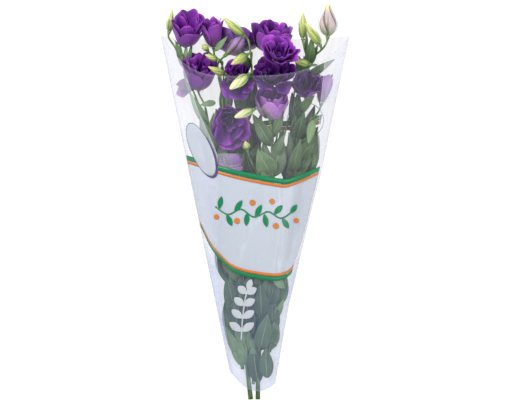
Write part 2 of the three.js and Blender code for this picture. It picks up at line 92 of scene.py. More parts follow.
def bezierRoute(a, b, c, d, steps=16):
    return [
        a * (1 - t) ** 3 + b * 3 * t * (1 - t) ** 2 + c * 3 * t**2 * (1 - t) + d * t**3
        for t in (i / steps for i in range(steps + 1))
    ]


def pointOn(route, share):
    # the point and the direction at a share of a line's length
    lengths = [(b - a).length for a, b in zip(route, route[1:])]
    left = share * sum(lengths)
    for a, b, length in zip(route, route[1:], lengths):
        if left <= length:
            return a.lerp(b, left / length), (b - a).normalized()
        left -= length
    return route[-1], (route[-1] - route[-2]).normalized()


sheetLayers = ("along", "across", "shade")  # what the materials read off a mesh


def blankMesh():
    bm = bmesh.new()
    for name in sheetLayers:
        bm.verts.layers.float.new(name)
    return bm


def layersOf(bm):
    return [bm.verts.layers.float[name] for name in sheetLayers]


def addSheet(bm, columns, rows, place, shade=0.0):
    # a grid bent by place(u, v), with u from -1 to 1 across and v from 0 to 1 along
    made = bmesh.ops.create_grid(bm, x_segments=columns, y_segments=rows, size=1)
    along, across, tone = layersOf(bm)
    for vert in made["verts"]:
        u, v = vert.co.x, (vert.co.y + 1) / 2
        vert[along], vert[across], vert[tone] = v, u, shade
        vert.co = Vector(place(u, v)) * mm
    return made["verts"]


def newPiece(name, bm, materials, replaced=()):
    mesh = bpy.data.meshes.new(name)
    bm.to_mesh(mesh)
    bm.free()
    piece = bpy.data.objects.new(name, mesh)
    scene.collection.objects.link(piece)
    for material in materials:
        mesh.materials.append(material)
    mesh.shade_smooth()
    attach(piece, "root")
    if replaced:
        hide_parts(*replaced)
    return piece


def thicken(piece, thickness, offset=0, backMaterial=0):
    solid = piece.modifiers.new("thickness", "SOLIDIFY")
    solid.thickness = thickness * mm
    solid.offset = offset
    solid.material_offset = backMaterial


# Materials

black, white = (0, 0, 0), (1, 1, 1)


def grey(level):
    return (level, level, level)


class NodeKit:
    # a new material, with short ways to add the nodes that the finishes below share

    def __init__(self, name, roughness, **sockets):
        self.material = bpy.data.materials.new(name)
        self.material.use_nodes = True
        self.tree = self.material.node_tree
        self.shader = self.tree.nodes["Principled BSDF"]
        self.shader.inputs["Roughness"].default_value = roughness
        for socketName, value in sockets.items():
            self.shader.inputs[socketName.replace("_", " ")].default_value = value

    def add(self, kind, **inputs):
        # i0 is the first socket, i1 the second, and other sockets go by name
        node = self.tree.nodes.new(kind)
        for key, value in inputs.items():
            numbered = key[0] == "i" and key[1:].isdigit()
            self.feed(node.inputs[int(key[1:]) if numbered else key], value)
        return node

    def feed(self, socket, value):
        if isinstance(value, bpy.types.NodeSocket):
            self.tree.links.new(value, socket)
        else:
            socket.default_value = value

    def connect(self, socketName, value):
        self.feed(self.shader.inputs[socketName], value)

    def attribute(self, name):
        node = self.tree.nodes.new("ShaderNodeAttribute")
        node.attribute_name = name
        return node.outputs["Fac"]

    def objectPlace(self):
        return self.tree.nodes.new("ShaderNodeTexCoord").outputs["Object"]

    def math(self, operation, a, b=0.0, limit=False):
        node = self.add("ShaderNodeMath", i0=a, i1=b)
        node.operation = operation
        node.use_clamp = limit
        return node.outputs[0]

    def times(self, a, b):
        return self.math("MULTIPLY", a, b)

    def plus(self, a, b, limit=False):
        return self.math("ADD", a, b, limit)

    def ramp(self, factor, stops):
        node = self.add("ShaderNodeValToRGB", i0=factor)
        elements = node.color_ramp.elements
        while len(elements) < len(stops):
            elements.new(0.5)
        for element, (position, colour) in zip(elements, stops):
            element.position = position
            element.color = (*colour, 1)
        return node.outputs[0]

    def rise(self, factor, low, high):
        return self.ramp(factor, [(low, black), (high, white)])

    def fall(self, factor, low, high):
        return self.ramp(factor, [(low, white), (high, black)])

    def blend(self, factor, a, b, how="MIX"):
        node = self.tree.nodes.new("ShaderNodeMix")
        node.data_type = "RGBA"
        node.blend_type = how
        self.feed(node.inputs[0], factor)
        for socket, colour in ((node.inputs[6], a), (node.inputs[7], b)):
            self.feed(socket, colour if isinstance(colour, bpy.types.NodeSocket) else (*colour, 1))
        return node.outputs[2]

    def noise(self, vector, scale, detail, roughness):
        node = self.add("ShaderNodeTexNoise", Vector=vector, Scale=scale, Detail=detail, Roughness=roughness)
        return node.outputs["Fac"]

    def streaks(self, acrossScale, alongScale, detail=3.0):
        # noise drawn out along a blade, different on each
        vector = self.add(
            "ShaderNodeCombineXYZ",
            i0=self.times(self.attribute("across"), acrossScale),
            i1=self.times(self.attribute("along"), alongScale),
            i2=self.times(self.attribute("shade"), 37.0),
        )
        return self.noise(vector.outputs[0], 1.0, detail, 0.6)

    def objectNoise(self, scale, detail=3.0, stretch=(1, 1, 1)):
        mapped = self.add("ShaderNodeMapping", Vector=self.objectPlace(), Scale=stretch)
        return self.noise(mapped.outputs[0], scale, detail, 0.55)

    def bump(self, height, strength, distance):
        node = self.add("ShaderNodeBump", Strength=strength, Distance=distance, Height=height)
        self.connect("Normal", node.outputs[0])

    def filmRipples(self):
        # long ripples, the same on the film and on its prints
        self.bump(self.objectNoise(38.0, 3.0, (1, 0.12, 1)), 0.5, 0.002)


def petalMaterial(name, stops, veinColour, veinShare, sheenColour):
    kit = NodeKit(
        name, 0.5, Specular_IOR_Level=0.3,
        Sheen_Weight=0.15, Sheen_Roughness=0.4, Sheen_Tint=(*sheenColour, 1),
        Subsurface_Weight=0.1, Subsurface_Radius=(0.004, 0.001, 0.006), Subsurface_Scale=0.5,
    )
    veins = kit.streaks(16.0, 1.4)
    tone = kit.ramp(kit.attribute("along"), stops)
    # painted shade in the hollows of each petal's waves and a painted highlight on their crests
    shadedHollows, litCrests = (0.3, 0.22, 0.36), (1.55, 1.6, 1.3)
    waves = kit.ramp(kit.attribute("shade"), [(0.1, shadedHollows), (0.55, white), (0.95, litCrests)])
    waveShaded = kit.blend(1.0, tone, waves, "MULTIPLY")
    veinMask = kit.times(kit.rise(veins, 0.42, 0.62), veinShare)
    veined = kit.blend(veinMask, waveShaded, veinColour)
    patches = kit.ramp(kit.streaks(2.5, 3.0), [(0.3, (0.45, 0.4, 0.5)), (0.7, grey(1.3))])
    kit.connect("Base Color", kit.blend(0.35, veined, patches, "MULTIPLY"))
    kit.bump(veins, 0.35, 0.0004)
    return kit.material


# stops are the colours from a petal's root to its rim; the near black at the face's root is painted shade
# deep in the bloom
petalFace = petalMaterial(
    "petal_face", veinColour=(0.04, 0.0, 0.12), veinShare=0.4, sheenColour=(0.8, 0.35, 1.0),
    stops=[(0.0, (0.005, 0.0, 0.014)), (0.42, (0.04, 0.0, 0.09)), (0.74, (0.2, 0.01, 0.36)),
           (1.0, (0.38, 0.07, 0.56))],
)
petalUnder = petalMaterial(
    "petal_under", veinColour=(0.08, 0.02, 0.16), veinShare=0.5, sheenColour=(0.8, 0.6, 1.0),
    stops=[(0.0, (0.25, 0.3, 0.2)), (0.12, (0.24, 0.14, 0.3)), (0.55, (0.2, 0.065, 0.32)),
           (1.0, (0.28, 0.05, 0.44))],
)
petalPale = petalMaterial(
    "petal_pale", veinColour=(0.16, 0.06, 0.28), veinShare=0.4, sheenColour=(0.8, 0.6, 1.0),
    stops=[(0.0, (0.25, 0.3, 0.2)), (0.15, (0.33, 0.24, 0.4)), (0.6, (0.38, 0.2, 0.5)),
           (1.0, (0.42, 0.15, 0.58))],
)


def budMaterial(name, stops, grooveShadeColour):
    kit = NodeKit(
        name, 0.42, Specular_IOR_Level=0.4,
        Subsurface_Weight=0.2, Subsurface_Radius=(0.004, 0.004, 0.001), Subsurface_Scale=0.5,
    )
    fine = kit.streaks(9.0, 2.0)
    tone = kit.ramp(kit.attribute("along"), stops)
    # painted shade in the grooves where each furled petal tucks under the next
    grooveShade = kit.ramp(kit.attribute("shade"), [(0.0, grooveShadeColour), (0.3, white)])
    furled = kit.blend(1.0, tone, grooveShade, "MULTIPLY")
    streaked = kit.ramp(fine, [(0.35, (0.5, 0.55, 0.4)), (0.65, (1.2, 1.2, 1.1))])
    kit.connect("Base Color", kit.blend(0.25, furled, streaked, "MULTIPLY"))
    kit.bump(fine, 0.3, 0.0004)
    return kit.material


budLooks = {
    # kind: slot, colour of the painted shade in the grooves between the furled petals, colours from foot to
    # tip
    "green": ("bud_green", (0.5, 0.55, 0.45),
              [(0.0, (0.16, 0.27, 0.06)), (0.3, (0.42, 0.5, 0.14)), (0.7, (0.6, 0.63, 0.22)),
               (1.0, (0.72, 0.7, 0.3))]),
    "mauve": ("bud_mauve", (0.22, 0.14, 0.2),
              [(0.0, (0.3, 0.4, 0.12)), (0.2, (0.5, 0.42, 0.4)), (0.7, (0.6, 0.49, 0.51)),
               (0.88, (0.78, 0.74, 0.5)), (1.0, (0.88, 0.88, 0.36))]),
    "lilac": ("bud_mauve", (0.3, 0.2, 0.3),
              [(0.0, (0.3, 0.4, 0.12)), (0.14, (0.34, 0.32, 0.2)), (0.32, (0.32, 0.2, 0.36)),
               (1.0, (0.36, 0.22, 0.48))]),
    "cream": ("bud_green", (0.6, 0.62, 0.5),
              [(0.0, (0.3, 0.42, 0.12)), (0.3, (0.6, 0.66, 0.3)), (0.7, (0.8, 0.82, 0.46)),
               (1.0, (0.86, 0.82, 0.5))]),
}
budFinishes = {
    kind: (budMaterial(f"bud_{kind}", stops, grooveShadeColour), slotName)
    for kind, (slotName, grooveShadeColour, stops) in budLooks.items()
}


def leafMaterial(name, darkAndShaded, light, glaucous, ribColour):
    # glaucous is the waxy grey of the paler leaves; the dark end of the tone is partly deep leaf green and
    # partly painted shade for leaves deep in the bunch
    kit = NodeKit(
        name, 0.45, Specular_IOR_Level=0.4,
        Subsurface_Weight=0.08, Subsurface_Radius=(0.001, 0.004, 0.001), Subsurface_Scale=0.5,
    )
    along, shade = kit.attribute("along"), kit.attribute("shade")
    distance = kit.math("ABSOLUTE", kit.attribute("across"))
    midrib = kit.fall(distance, 0.0, 0.07)
    phase = kit.math("SUBTRACT", kit.times(distance, 16.0), kit.times(along, 22.0))
    sideVeins = kit.rise(kit.math("SINE", phase), 0.82, 1.0)
    waxShare = kit.times(kit.plus(shade, 0.25), 0.7)
    waxMask = kit.times(kit.objectNoise(60.0), waxShare)
    waxed = kit.blend(waxMask, kit.blend(shade, darkAndShaded, light), glaucous)
    veined = kit.blend(kit.times(sideVeins, 0.22), waxed, glaucous)
    kit.connect("Base Color", kit.blend(kit.times(midrib, 0.65), veined, ribColour))
    relief = kit.plus(kit.times(midrib, -0.8), kit.times(sideVeins, -0.3))
    kit.bump(kit.plus(relief, kit.streaks(10.0, 10.0)), 0.35, 0.0005)
    return kit.material


leafGreen = leafMaterial(
    "leaf_green", darkAndShaded=(0.012, 0.04, 0.014), light=(0.18, 0.3, 0.09), glaucous=(0.18, 0.28, 0.19),
    ribColour=(0.36, 0.46, 0.2),
)


def stalkMaterial(name, stops, cutColour, footY):
    kit = NodeKit(name, 0.42, Specular_IOR_Level=0.4)
    tone = kit.ramp(kit.objectNoise(60.0, stretch=(3, 0.25, 3)), stops)
    height = kit.add("ShaderNodeSeparateXYZ", Vector=kit.objectPlace()).outputs["Y"]
    aboveFoot = kit.times(kit.plus(height, -footY), 20.0)
    cutEnds = kit.ramp(aboveFoot, [(0.4, cutColour), (0.55, white)])  # darker below the film
    kit.connect("Base Color", kit.blend(1.0, tone, cutEnds, "MULTIPLY"))
    kit.bump(kit.objectNoise(400.0, stretch=(1, 0.08, 1)), 0.3, 0.0004)
    return kit.material


stalkGreen = stalkMaterial(
    "stalk_green", cutColour=(0.42, 0.46, 0.34), footY=-0.31,
    stops=[(0.3, (0.035, 0.09, 0.015)), (0.5, (0.12, 0.21, 0.05)), (0.7, (0.24, 0.36, 0.1))],
)

filmLooks = {
    # the haze of the whole film, its streaks and its welds, both partly painted highlight, its foot, and how
    # many times as much the back has
    "film_clear": {
        "haze": 0.034, "streakHighlightHaze": 0.028, "weldAndHighlightHaze": 0.18, "footHaze": 0.09, "backTimes": 2.0,
        "colour": (0.62, 0.63, 0.75), "backColour": (0.42, 0.42, 0.57), "footColour": (0.4, 0.48, 0.74),
    },
    "film_fold": {
        "haze": 0.14, "streakHighlightHaze": 0.09, "weldAndHighlightHaze": 0.2, "footHaze": 0.1, "backTimes": 1.0,
        "colour": (0.84, 0.86, 0.98), "backColour": (0.84, 0.86, 0.98), "footColour": (0.6, 0.65, 0.9),
    },
}


def filmMaterial(name):
    # the shade attribute is 0 on the front panel and 1 on the back one
    look = filmLooks[name]
    kit = NodeKit(name, 0.2, Specular_IOR_Level=0.6)
    along, shade = kit.attribute("along"), kit.attribute("shade")
    panels = kit.blend(shade, look["colour"], look["backColour"])
    kit.connect("Base Color", kit.blend(kit.fall(along, 0.32, 0.45), panels, look["footColour"]))

    cloud = kit.times(kit.objectNoise(16.0, 2.0), look["haze"] * 0.5)
    haze = kit.plus(cloud, look["haze"] * 0.75)
    # whiter streaks along the film, partly haze and partly painted highlight along its long ripples
    highlightStreak = kit.rise(kit.streaks(14.0, 1.1, 4.0), 0.45, 0.75)
    haze = kit.plus(haze, kit.times(highlightStreak, look["streakHighlightHaze"]))
    foot = kit.ramp(along, [(0.0, grey(0.6)), (0.12, grey(0.5)), (0.32, grey(0.5)), (0.4, black)])
    haze = kit.plus(haze, kit.times(foot, look["footHaze"]))
    backMore = kit.plus(kit.times(shade, look["backTimes"] - 1.0), 1.0)
    haze = kit.times(haze, backMore)

    # edge lines along the side welds and the cut ends: partly real seam and partly a painted highlight along
    # the film's edges
    distance = kit.math("ABSOLUTE", kit.attribute("across"))
    sides = kit.ramp(distance, [(0.9, black), (0.985, grey(0.5)), (1.0, white)])
    ends = kit.ramp(along, [(0.0, grey(0.8)), (0.006, black), (0.993, black), (1.0, grey(0.35))])
    edges = kit.math("MAXIMUM", sides, ends)
    weld = kit.times(kit.math("SUBTRACT", 1.2, shade), look["weldAndHighlightHaze"])  # the back's are fainter
    kit.connect("Alpha", kit.plus(haze, kit.times(edges, weld), True))
    kit.filmRipples()
    return kit.material


filmClear = filmMaterial("film_clear")
filmFold = filmMaterial("film_fold")


def inkMaterial(name, colour, alpha, fades=False):
    # an ink that fades does so from the middle to the right
    kit = NodeKit(name, 0.35, Specular_IOR_Level=0.5)
    darker = tuple(0.92 * c for c in colour)
    kit.connect("Base Color", kit.ramp(kit.objectNoise(900.0, 2.0), [(0.35, darker), (0.65, colour)]))
    cover = kit.plus(kit.times(kit.objectNoise(30.0), 0.08), alpha - 0.04, True)
    if fades:
        cover = kit.times(cover, kit.fall(kit.attribute("across"), 0.0, 1.0))
    kit.connect("Alpha", cover)
    kit.filmRipples()
    return kit.material


inkPale = inkMaterial("ink_pale", (0.61, 0.66, 0.75), 0.74)
inkGreen = inkMaterial("ink_green", (0.0, 0.22, 0.08), 0.9)
inkOrange = inkMaterial("ink_orange", (0.66, 0.2, 0.03), 0.9)
inkWhite = inkMaterial("ink_white", (0.66, 0.7, 0.76), 0.68)
inkViolet = inkMaterial("ink_violet", (0.12, 0.08, 0.22), 0.7)
inkMist = inkMaterial("ink_mist", (0.62, 0.58, 0.74), 0.17, fades=True)
print("materials made")


# The sleeve's shape, which leaves and prints follow too

sleeve = {
    "mouthY": 262, "mouthHalf": 145, "mouthSeamZ": 36, "mouthTopZ": 110,
    "footY": -275, "footHalf": 36, "footSeamZ": 4.5, "footTopZ": 15,
    "footDrop": 21.5, "footTilt": 0.08,  # the foot's edge is an arc, a little aslant
    "frontDipY": 194, "dipShift": -25, "dipPower": 3.4,  # the front panel is cut lower, in a curve
    "leftOut": 4.6,  # the left side stands this much further out
    # how far the right side bows in: (y, mm)
    "rightIn": [(-300, 4.5), (-272, 4.5), (-236, 5.8), (-198, 7.2), (-161, 8), (-124, 6.8), (-68, 5.4),
                (-31, 4.4), (6, 3), (25, 1.5), (43, 0.3), (70, 0)],
    "flatShare": 0.45, "crownPower": 3.2, "backPower": 1.7,
    "thickness": 0.3, "columns": 110, "rows": 140, "weldGap": 0.2,
    "creases": 26, "seed": 11, "creaseSpread": 0.9, "creaseY": (-190, 230), "creaseReach": (50, 170),
    "creaseLean": 0.0012, "creaseHeight": (0.5, 1.7), "creaseWidth": (0.035, 0.08), "waveHeight": 2.2,
    "calmCrown": 12, "calmOver": 40, "calmLeast": 0.15,  # creases are lower where the sleeve is flat
}


def filmShare(y):
    return (y - sleeve["footY"]) / (sleeve["mouthY"] - sleeve["footY"])


def filmHalf(y, side):
    # the half width to the left (side below 0) or the right
    half = mix(sleeve["footHalf"], sleeve["mouthHalf"], filmShare(y))
    return half + sleeve["leftOut"] if side < 0 else half - curveAt(sleeve["rightIn"], y)


def makeCreases():
    rng = random.Random(sleeve["seed"])
    spread, lean = sleeve["creaseSpread"], sleeve["creaseLean"]
    creases = []
    for _ in range(sleeve["creases"]):
        middle = rng.uniform(*sleeve["creaseY"])
        reach = rng.uniform(*sleeve["creaseReach"])
        creases.append({
            "u": rng.uniform(-spread, spread), "lean": rng.uniform(-lean, lean), "y": middle, "reach": reach,
            "height": rng.uniform(*sleeve["creaseHeight"]) * rng.choice((-1, 1)),
            "width": rng.uniform(*sleeve["creaseWidth"]),
        })
    return creases


creases = makeCreases()


def filmWrinkle(u, y):
    total = 0.0
    for crease in creases:
        fade = 1 - abs(y - crease["y"]) / crease["reach"]
        if fade > 0:
            d = abs(u - crease["u"] - crease["lean"] * (y - crease["y"])) / crease["width"]
            total += crease["height"] * smooth(fade) * math.exp(-d * (0.6 + 0.4 * d))
    soft = noise.noise(Vector((u * 2.5, y * 0.012, 3.7))) * sleeve["waveHeight"]
    return (total + soft) * (1 - abs(u) ** 6)  # none at the welds


def frontZ(x, y):
    u = clamp(x / filmHalf(y, x), -1, 1)
    seam = mix(sleeve["footSeamZ"], sleeve["mouthSeamZ"], filmShare(y))
    crown = mix(sleeve["footTopZ"], sleeve["mouthTopZ"], filmShare(y))
    calm = clamp((crown - sleeve["calmCrown"]) / sleeve["calmOver"], sleeve["calmLeast"], 1)
    return seam + (crown - seam) * (1 - abs(u) ** sleeve["crownPower"]) + filmWrinkle(u, y) * calm


def backZ(x, y):
    u = min(abs(x / filmHalf(y, x)), 1)
    seam = mix(sleeve["footSeamZ"], sleeve["mouthSeamZ"], filmShare(y))
    bend = max(0, u - sleeve["flatShare"]) / (1 - sleeve["flatShare"])
    return seam * bend ** sleeve["backPower"]


def frontEdgeY(x):
    shift = sleeve["dipShift"]
    reach = sleeve["mouthHalf"] + math.copysign(shift, (shift - x) * shift)
    share = min(abs(x - shift) / reach, 1)
    return sleeve["frontDipY"] + (sleeve["mouthY"] - sleeve["frontDipY"]) * share ** sleeve["dipPower"]


def footEdgeY(x):
    return sleeve["footY"] - sleeve["footDrop"] * (1 - (x / sleeve["footHalf"]) ** 2) - sleeve["footTilt"] * x


def edgeAt(u, edge, start):
    # where the line at share u of the half width meets an edge given as y(x)
    y = start
    for _ in range(8):
        y = edge(clamp(u, -1, 1) * filmHalf(y, u))
    return y


print("sleeve shape set")


# Blooms and buds: heart is the middle, facing the way that it points, share the place on its stem where its
# stalk leaves, and via what the stalk passes.

def placed(heart, facing, stem, share, **rest):
    return {"heart": heart, "facing": facing, "stem": stem, "from": share, **rest}


# A calm under 1 smooths a bloom's petals, lean pushes its rim to one side and squeeze narrows it. Each row of
# a skirt is one fallen petal: angle, share of the rim, share of the height, added tone.
bloomPlaces = [
    placed((-109.8, 268.1, 48.1), (0.05, 0.7, 0.7), "a", 0.86, rim=23, height=51, belly=0.85, turn=0.3,
           style="ring", tone=0.12, calm=0.7, lean=(0.08, 0), via=[(-113, 203, 25)]),
    placed((-68, 266.5, 42), (-0.05, 0.92, 0.38), "b", 0.84, rim=17.5, height=46, turn=1.1, style="slim",
           tone=0.15, calm=0.6, lean=(-0.2, 0), via=[(-50, 150, 14), (-60, 200, 20)]),
    placed((-25, 256, 32), (0.05, 0.6, -0.75), "c", 0.9, rim=27.5, height=28, turn=0.7, style="open",
           tone=-0.2, calm=0.7, lean=(-0.2, -0.25), squeeze=(1, 0.72),
           via=[(-24, 200, 20), (-28, 228, 46)]),
    placed((26.5, 258.7, 41.8), (0.1, 0.86, 0.45), "d", 0.72, rim=25, height=48, belly=1.2, turn=0.2,
           tone=0.05, calm=0.35, lean=(-0.12, 0), via=[(42, 160, 14), (38, 212, 14)]),
    placed((35, 230, 90), (0.1, 0.62, 0.78), "d", 0.8, rim=23, height=26, turn=0.9, tone=0.2,
           via=[(57, 160, 18), (63, 206, 22), (65, 228, 54)]),
    placed((-88.7, 203.3, 35.9), (0.1, 0.77, 0.63), "a", 1, rim=22.5, height=54, belly=0.98, turn=0.5,
           tone=0.05, skirt=[(3.1, 1.35, 0.12, 0.35), (-2.75, 1.4, -0.12, 0.35)]),
    placed((-28, 201, 57), (-0.05, 0.55, 0.82), "c", 1, rim=16, height=28, turn=0.8, tone=-0.1,
           lean=(-0.1, 0), skirt=[(-0.1, 1.6, 0, -0.1), (-2.7, 1.9, 0, -0.1), (-0.45, 1.8, 0, -0.2),
           (-2.15, 2.05, 0, 0), (-1.0, 2.05, 0, -0.15), (-1.57, 2.15, 0, -0.25)]),
    placed((25, 202, 58), (0.05, 0.5, 0.85), "d", 0.76, rim=25, height=30, turn=0, tone=-0.15,
           lean=(0.12, 0.12), skirt=[(-2.75, 1.15, 0, 0), (-2.1, 1.0, 0, 0), (-0.6, 1.2, 0, 0.2),
           (3.0, 1.4, 0.35, 0.2)], via=[(34, 160, 12), (22, 195, 20)]),
    placed((26.9, 154.6, 46.2), (0.05, 0.8, 0.6), "d", 1, rim=26, height=44, belly=1.05, turn=0.6,
           style="cup", pale=True, tone=0.2, calm=0.7, lean=(-0.16, 0)),
    placed((-42, 127, 46), (-0.05, -0.35, 0.93), "b", 1, rim=26, height=28, turn=-1.57, style="open",
           lean=(0, -0.2), squeeze=(0.84, 1.02), via=[(-46, 116, 19)]),
    placed((-40.7, 61.6, 39.4), (0.2, 0.75, 0.5), "b", 0.7, rim=20, height=24, belly=0.9, turn=0.4,
           style="bare", pale=True, tone=0.3, calm=0.5),
    placed((77, 180, 46), (0.02, 0.64, 0.76), "e", 0.68, rim=19.2, height=32, turn=0.4, tone=-0.25),
    placed((104.5, 181, 33), (0.12, 0.98, 0.08), "e", 0.74, rim=12.8, height=44, turn=0, style="slim",
           pale=True),
]

petals = {
    "columns": 19, "rows": 16, "thickness": 0.4, "root": 2.6, "seed": 5, "slimBelly": 0.62,
    # for each layer: petals, share of the rim, share of the height, lip, half angle, turn, root height
    "full": [
        (5, 1.0, 0.9, 0.28, 0.95, 0.0, 0.0),
        (5, 0.84, 1.0, 0.2, 0.92, 0.62, 0.8),
        (4, 0.6, 0.98, 0.16, 1.0, 0.2, 1.6),
        (3, 0.36, 0.82, 0.0, 1.2, 0.9, 2.4),
    ],
    "open": [
        (5, 1.0, 0.84, 0.34, 0.98, 0.0, 0.0),
        (5, 0.84, 0.98, 0.26, 0.95, 0.62, 0.8),
        (3, 0.44, 0.66, 0.1, 1.15, 0.3, 1.6),
    ],
    "ring": [
        (4, 1.0, 0.9, 0.26, 1.25, 0.0, 0.0),
        (5, 0.84, 1.0, 0.22, 1.1, 0.62, 0.8),
        (4, 0.62, 0.86, 0.3, 1.1, 0.3, 1.2),
        (3, 0.3, 0.42, 0.1, 1.2, 0.3, 1.6),
    ],
    "slim": [
        (5, 1.0, 0.96, 0.18, 1.0, 0.0, 0.0),
        (4, 0.78, 1.0, 0.14, 1.05, 0.5, 0.8),
        (3, 0.46, 0.92, 0.1, 1.2, 0.2, 1.6),
    ],
    "cup": [
        (5, 0.94, 0.88, 0.02, 0.95, 0.0, 0.0),
        (5, 0.8, 1.0, 0.06, 0.95, 0.62, 0.8),
        (4, 0.58, 0.98, 0.1, 1.0, 0.2, 1.6),
    ],
    "bare": [
        (4, 1.0, 0.92, 0.0, 1.1, 0.0, 0.0),
        (3, 0.72, 1.0, 0.05, 1.3, 0.6, 0.8),
    ],
    "fallen": (0.05, 0.62),  # lip and half angle of the skirt's petals, which have fallen open
    "roundness": 0.26, "calmRoundness": 0.12, "cornering": 0.16, "overlap": 0.07,
    # the darkening of the throat and of the wave hollows is painted shade
    "ruffle": 0.1, "frill": 0.014, "throatPaintedShade": 0.7, "hollowPaintedShade": 0.3,
    # how far each petal differs from the next
    "rimRange": (0.92, 1.06), "heightRange": (0.9, 1.03), "lipRange": (-0.12, 0.12),
    "turnRange": (-0.15, 0.15), "wideRange": (0.9, 1.1), "ruffleRange": (0.7, 1.35),
    "wavesRange": (1.7, 3.1), "tintRange": (0.35, 0.7),
}


def petalProfile(bloom, rim, height, lip, root, s):
    # radius and height at a share of the petal's length, on a curve through four handles
    r = (root[0], bloom.get("belly", petals["slimBelly"]) * rim, 0.92 * rim, rim * (1 + lip))
    z = (root[1], root[1] + 0.05 * height, 0.55 * height, height)
    w = ((1 - s) ** 3, 3 * s * (1 - s) ** 2, 3 * s * s * (1 - s), s**3)
    return sum(a * b for a, b in zip(r, w)), sum(a * b for a, b in zip(z, w))


def headFrame(head, length):
    facing = Vector(head["facing"]).normalized()
    base = Vector(head["heart"]) - facing * length / 2
    return base, facing, up.rotation_difference(facing)


def addPetal(bm, bloom, layer, index, rng, extraTone=0.0):
    count, rimShare, heightShare, lip, halfAngle, turn, rootZ = layer
    base, _, aim = headFrame(bloom, bloom["height"])
    rim = bloom["rim"] * rimShare * rng.uniform(*petals["rimRange"])
    height = bloom["height"] * heightShare * rng.uniform(*petals["heightRange"])
    lip = lip + rng.uniform(*petals["lipRange"])
    middle = index * 2 * math.pi / count + turn + bloom["turn"] + rng.uniform(*petals["turnRange"])
    calm, squeeze = bloom.get("calm", 1), bloom.get("squeeze", (1, 1))
    outward = aim @ Vector((math.cos(middle), math.sin(middle), 0))
    rim *= 1 + Vector((*bloom.get("lean", (0, 0)), 0)).dot(outward)
    wide = halfAngle * rng.uniform(*petals["wideRange"])
    ruffle = petals["ruffle"] * rng.uniform(*petals["ruffleRange"]) * bloom["rim"] * calm
    frill = petals["frill"] * calm * bloom["rim"]
    waves = rng.uniform(*petals["wavesRange"])
    phase, frillPhase, seed = rng.uniform(0, fullTurn), rng.uniform(0, fullTurn), rng.uniform(0, 50)
    root = (petals["root"] * (0.5 + 0.5 * rimShare), rootZ)
    # inner rows are darker: painted shade in the bloom's throat, taken off the petal's tint
    paintedThroatShade = petals["throatPaintedShade"] * max(0, 1 - rimShare)
    tintAndShade = rng.uniform(*petals["tintRange"]) + bloom.get("tone", 0) + extraTone - paintedThroatShade
    roundness = petals["roundness"] + petals["calmRoundness"] * (1 - calm)

    def waveAt(u, s):
        big = math.sin(waves * math.pi * u * 0.5 + phase) * s**2.4
        middling = 0.28 * math.sin(2.3 * waves * math.pi * u * 0.5 + frillPhase) * s**4
        drift = 1.1 * noise.noise(Vector((u * 1.3 + seed, s * 2.2, 0.0))) * s
        return big + middling + drift

    def place(u, v):
        notch = 0.035 * math.sin(4.5 * u + frillPhase) + 0.01 * math.sin(13 * u + phase)
        s = v * (1 - roundness * abs(u) ** 2.2 + notch * calm * v)
        r, z = petalProfile(bloom, rim, height, lip, root, s)
        r1, z1 = petalProfile(bloom, rim, height, lip, root, s + 0.01)
        slope = max(math.hypot(r1 - r, z1 - z), 1e-6)
        out, rise = (z1 - z) / slope, -(r1 - r) / slope
        wave = ruffle * waveAt(u, s) + frill * s**8 * math.sin(13 * u + frillPhase)
        angle = middle + u * wide * (0.7 + 0.3 * s) * (1 - petals["cornering"] * v**6)
        r = r + out * wave + petals["overlap"] * rim * u * s
        spot = Vector((squeeze[0] * r * math.cos(angle), squeeze[1] * r * math.sin(angle), z + rise * wave))
        return base + aim @ spot

    made = addSheet(bm, petals["columns"], petals["rows"], place)
    along, across, tone = layersOf(bm)
    # each wave gets painted shade in its hollow and a painted highlight on its crest
    for vert in made:  # hollows are darker than crests
        vert[tone] = clamp(tintAndShade - petals["hollowPaintedShade"] * waveAt(vert[across], vert[along]), 0, 1)


def makeBloom(number, bloom):
    rng = random.Random(petals["seed"] * 100 + number)
    bm = blankMesh()
    for layer in petals[bloom.get("style", "full")]:
        for index in range(layer[0]):
            addPetal(bm, bloom, layer, index, rng)
    for angle, reach, rise, extraTone in bloom.get("skirt", ()):
        fallen = (1, reach, rise, *petals["fallen"], angle - bloom["turn"], 0.0)
        addPetal(bm, bloom, fallen, 0, rng, extraTone)
    underside = petalPale if bloom.get("pale") else petalUnder
    piece = newPiece(f"bloom_{number}_petals", bm, [underside, petalFace], [f"bloom_{number}"])
    thicken(piece, petals["thickness"], backMaterial=1)


for number, bloom in enumerate(bloomPlaces, 1):
    makeBloom(number, bloom)
print("blooms made:", len(bloomPlaces))


# Buds: four or five furled petals wind round each and overlap

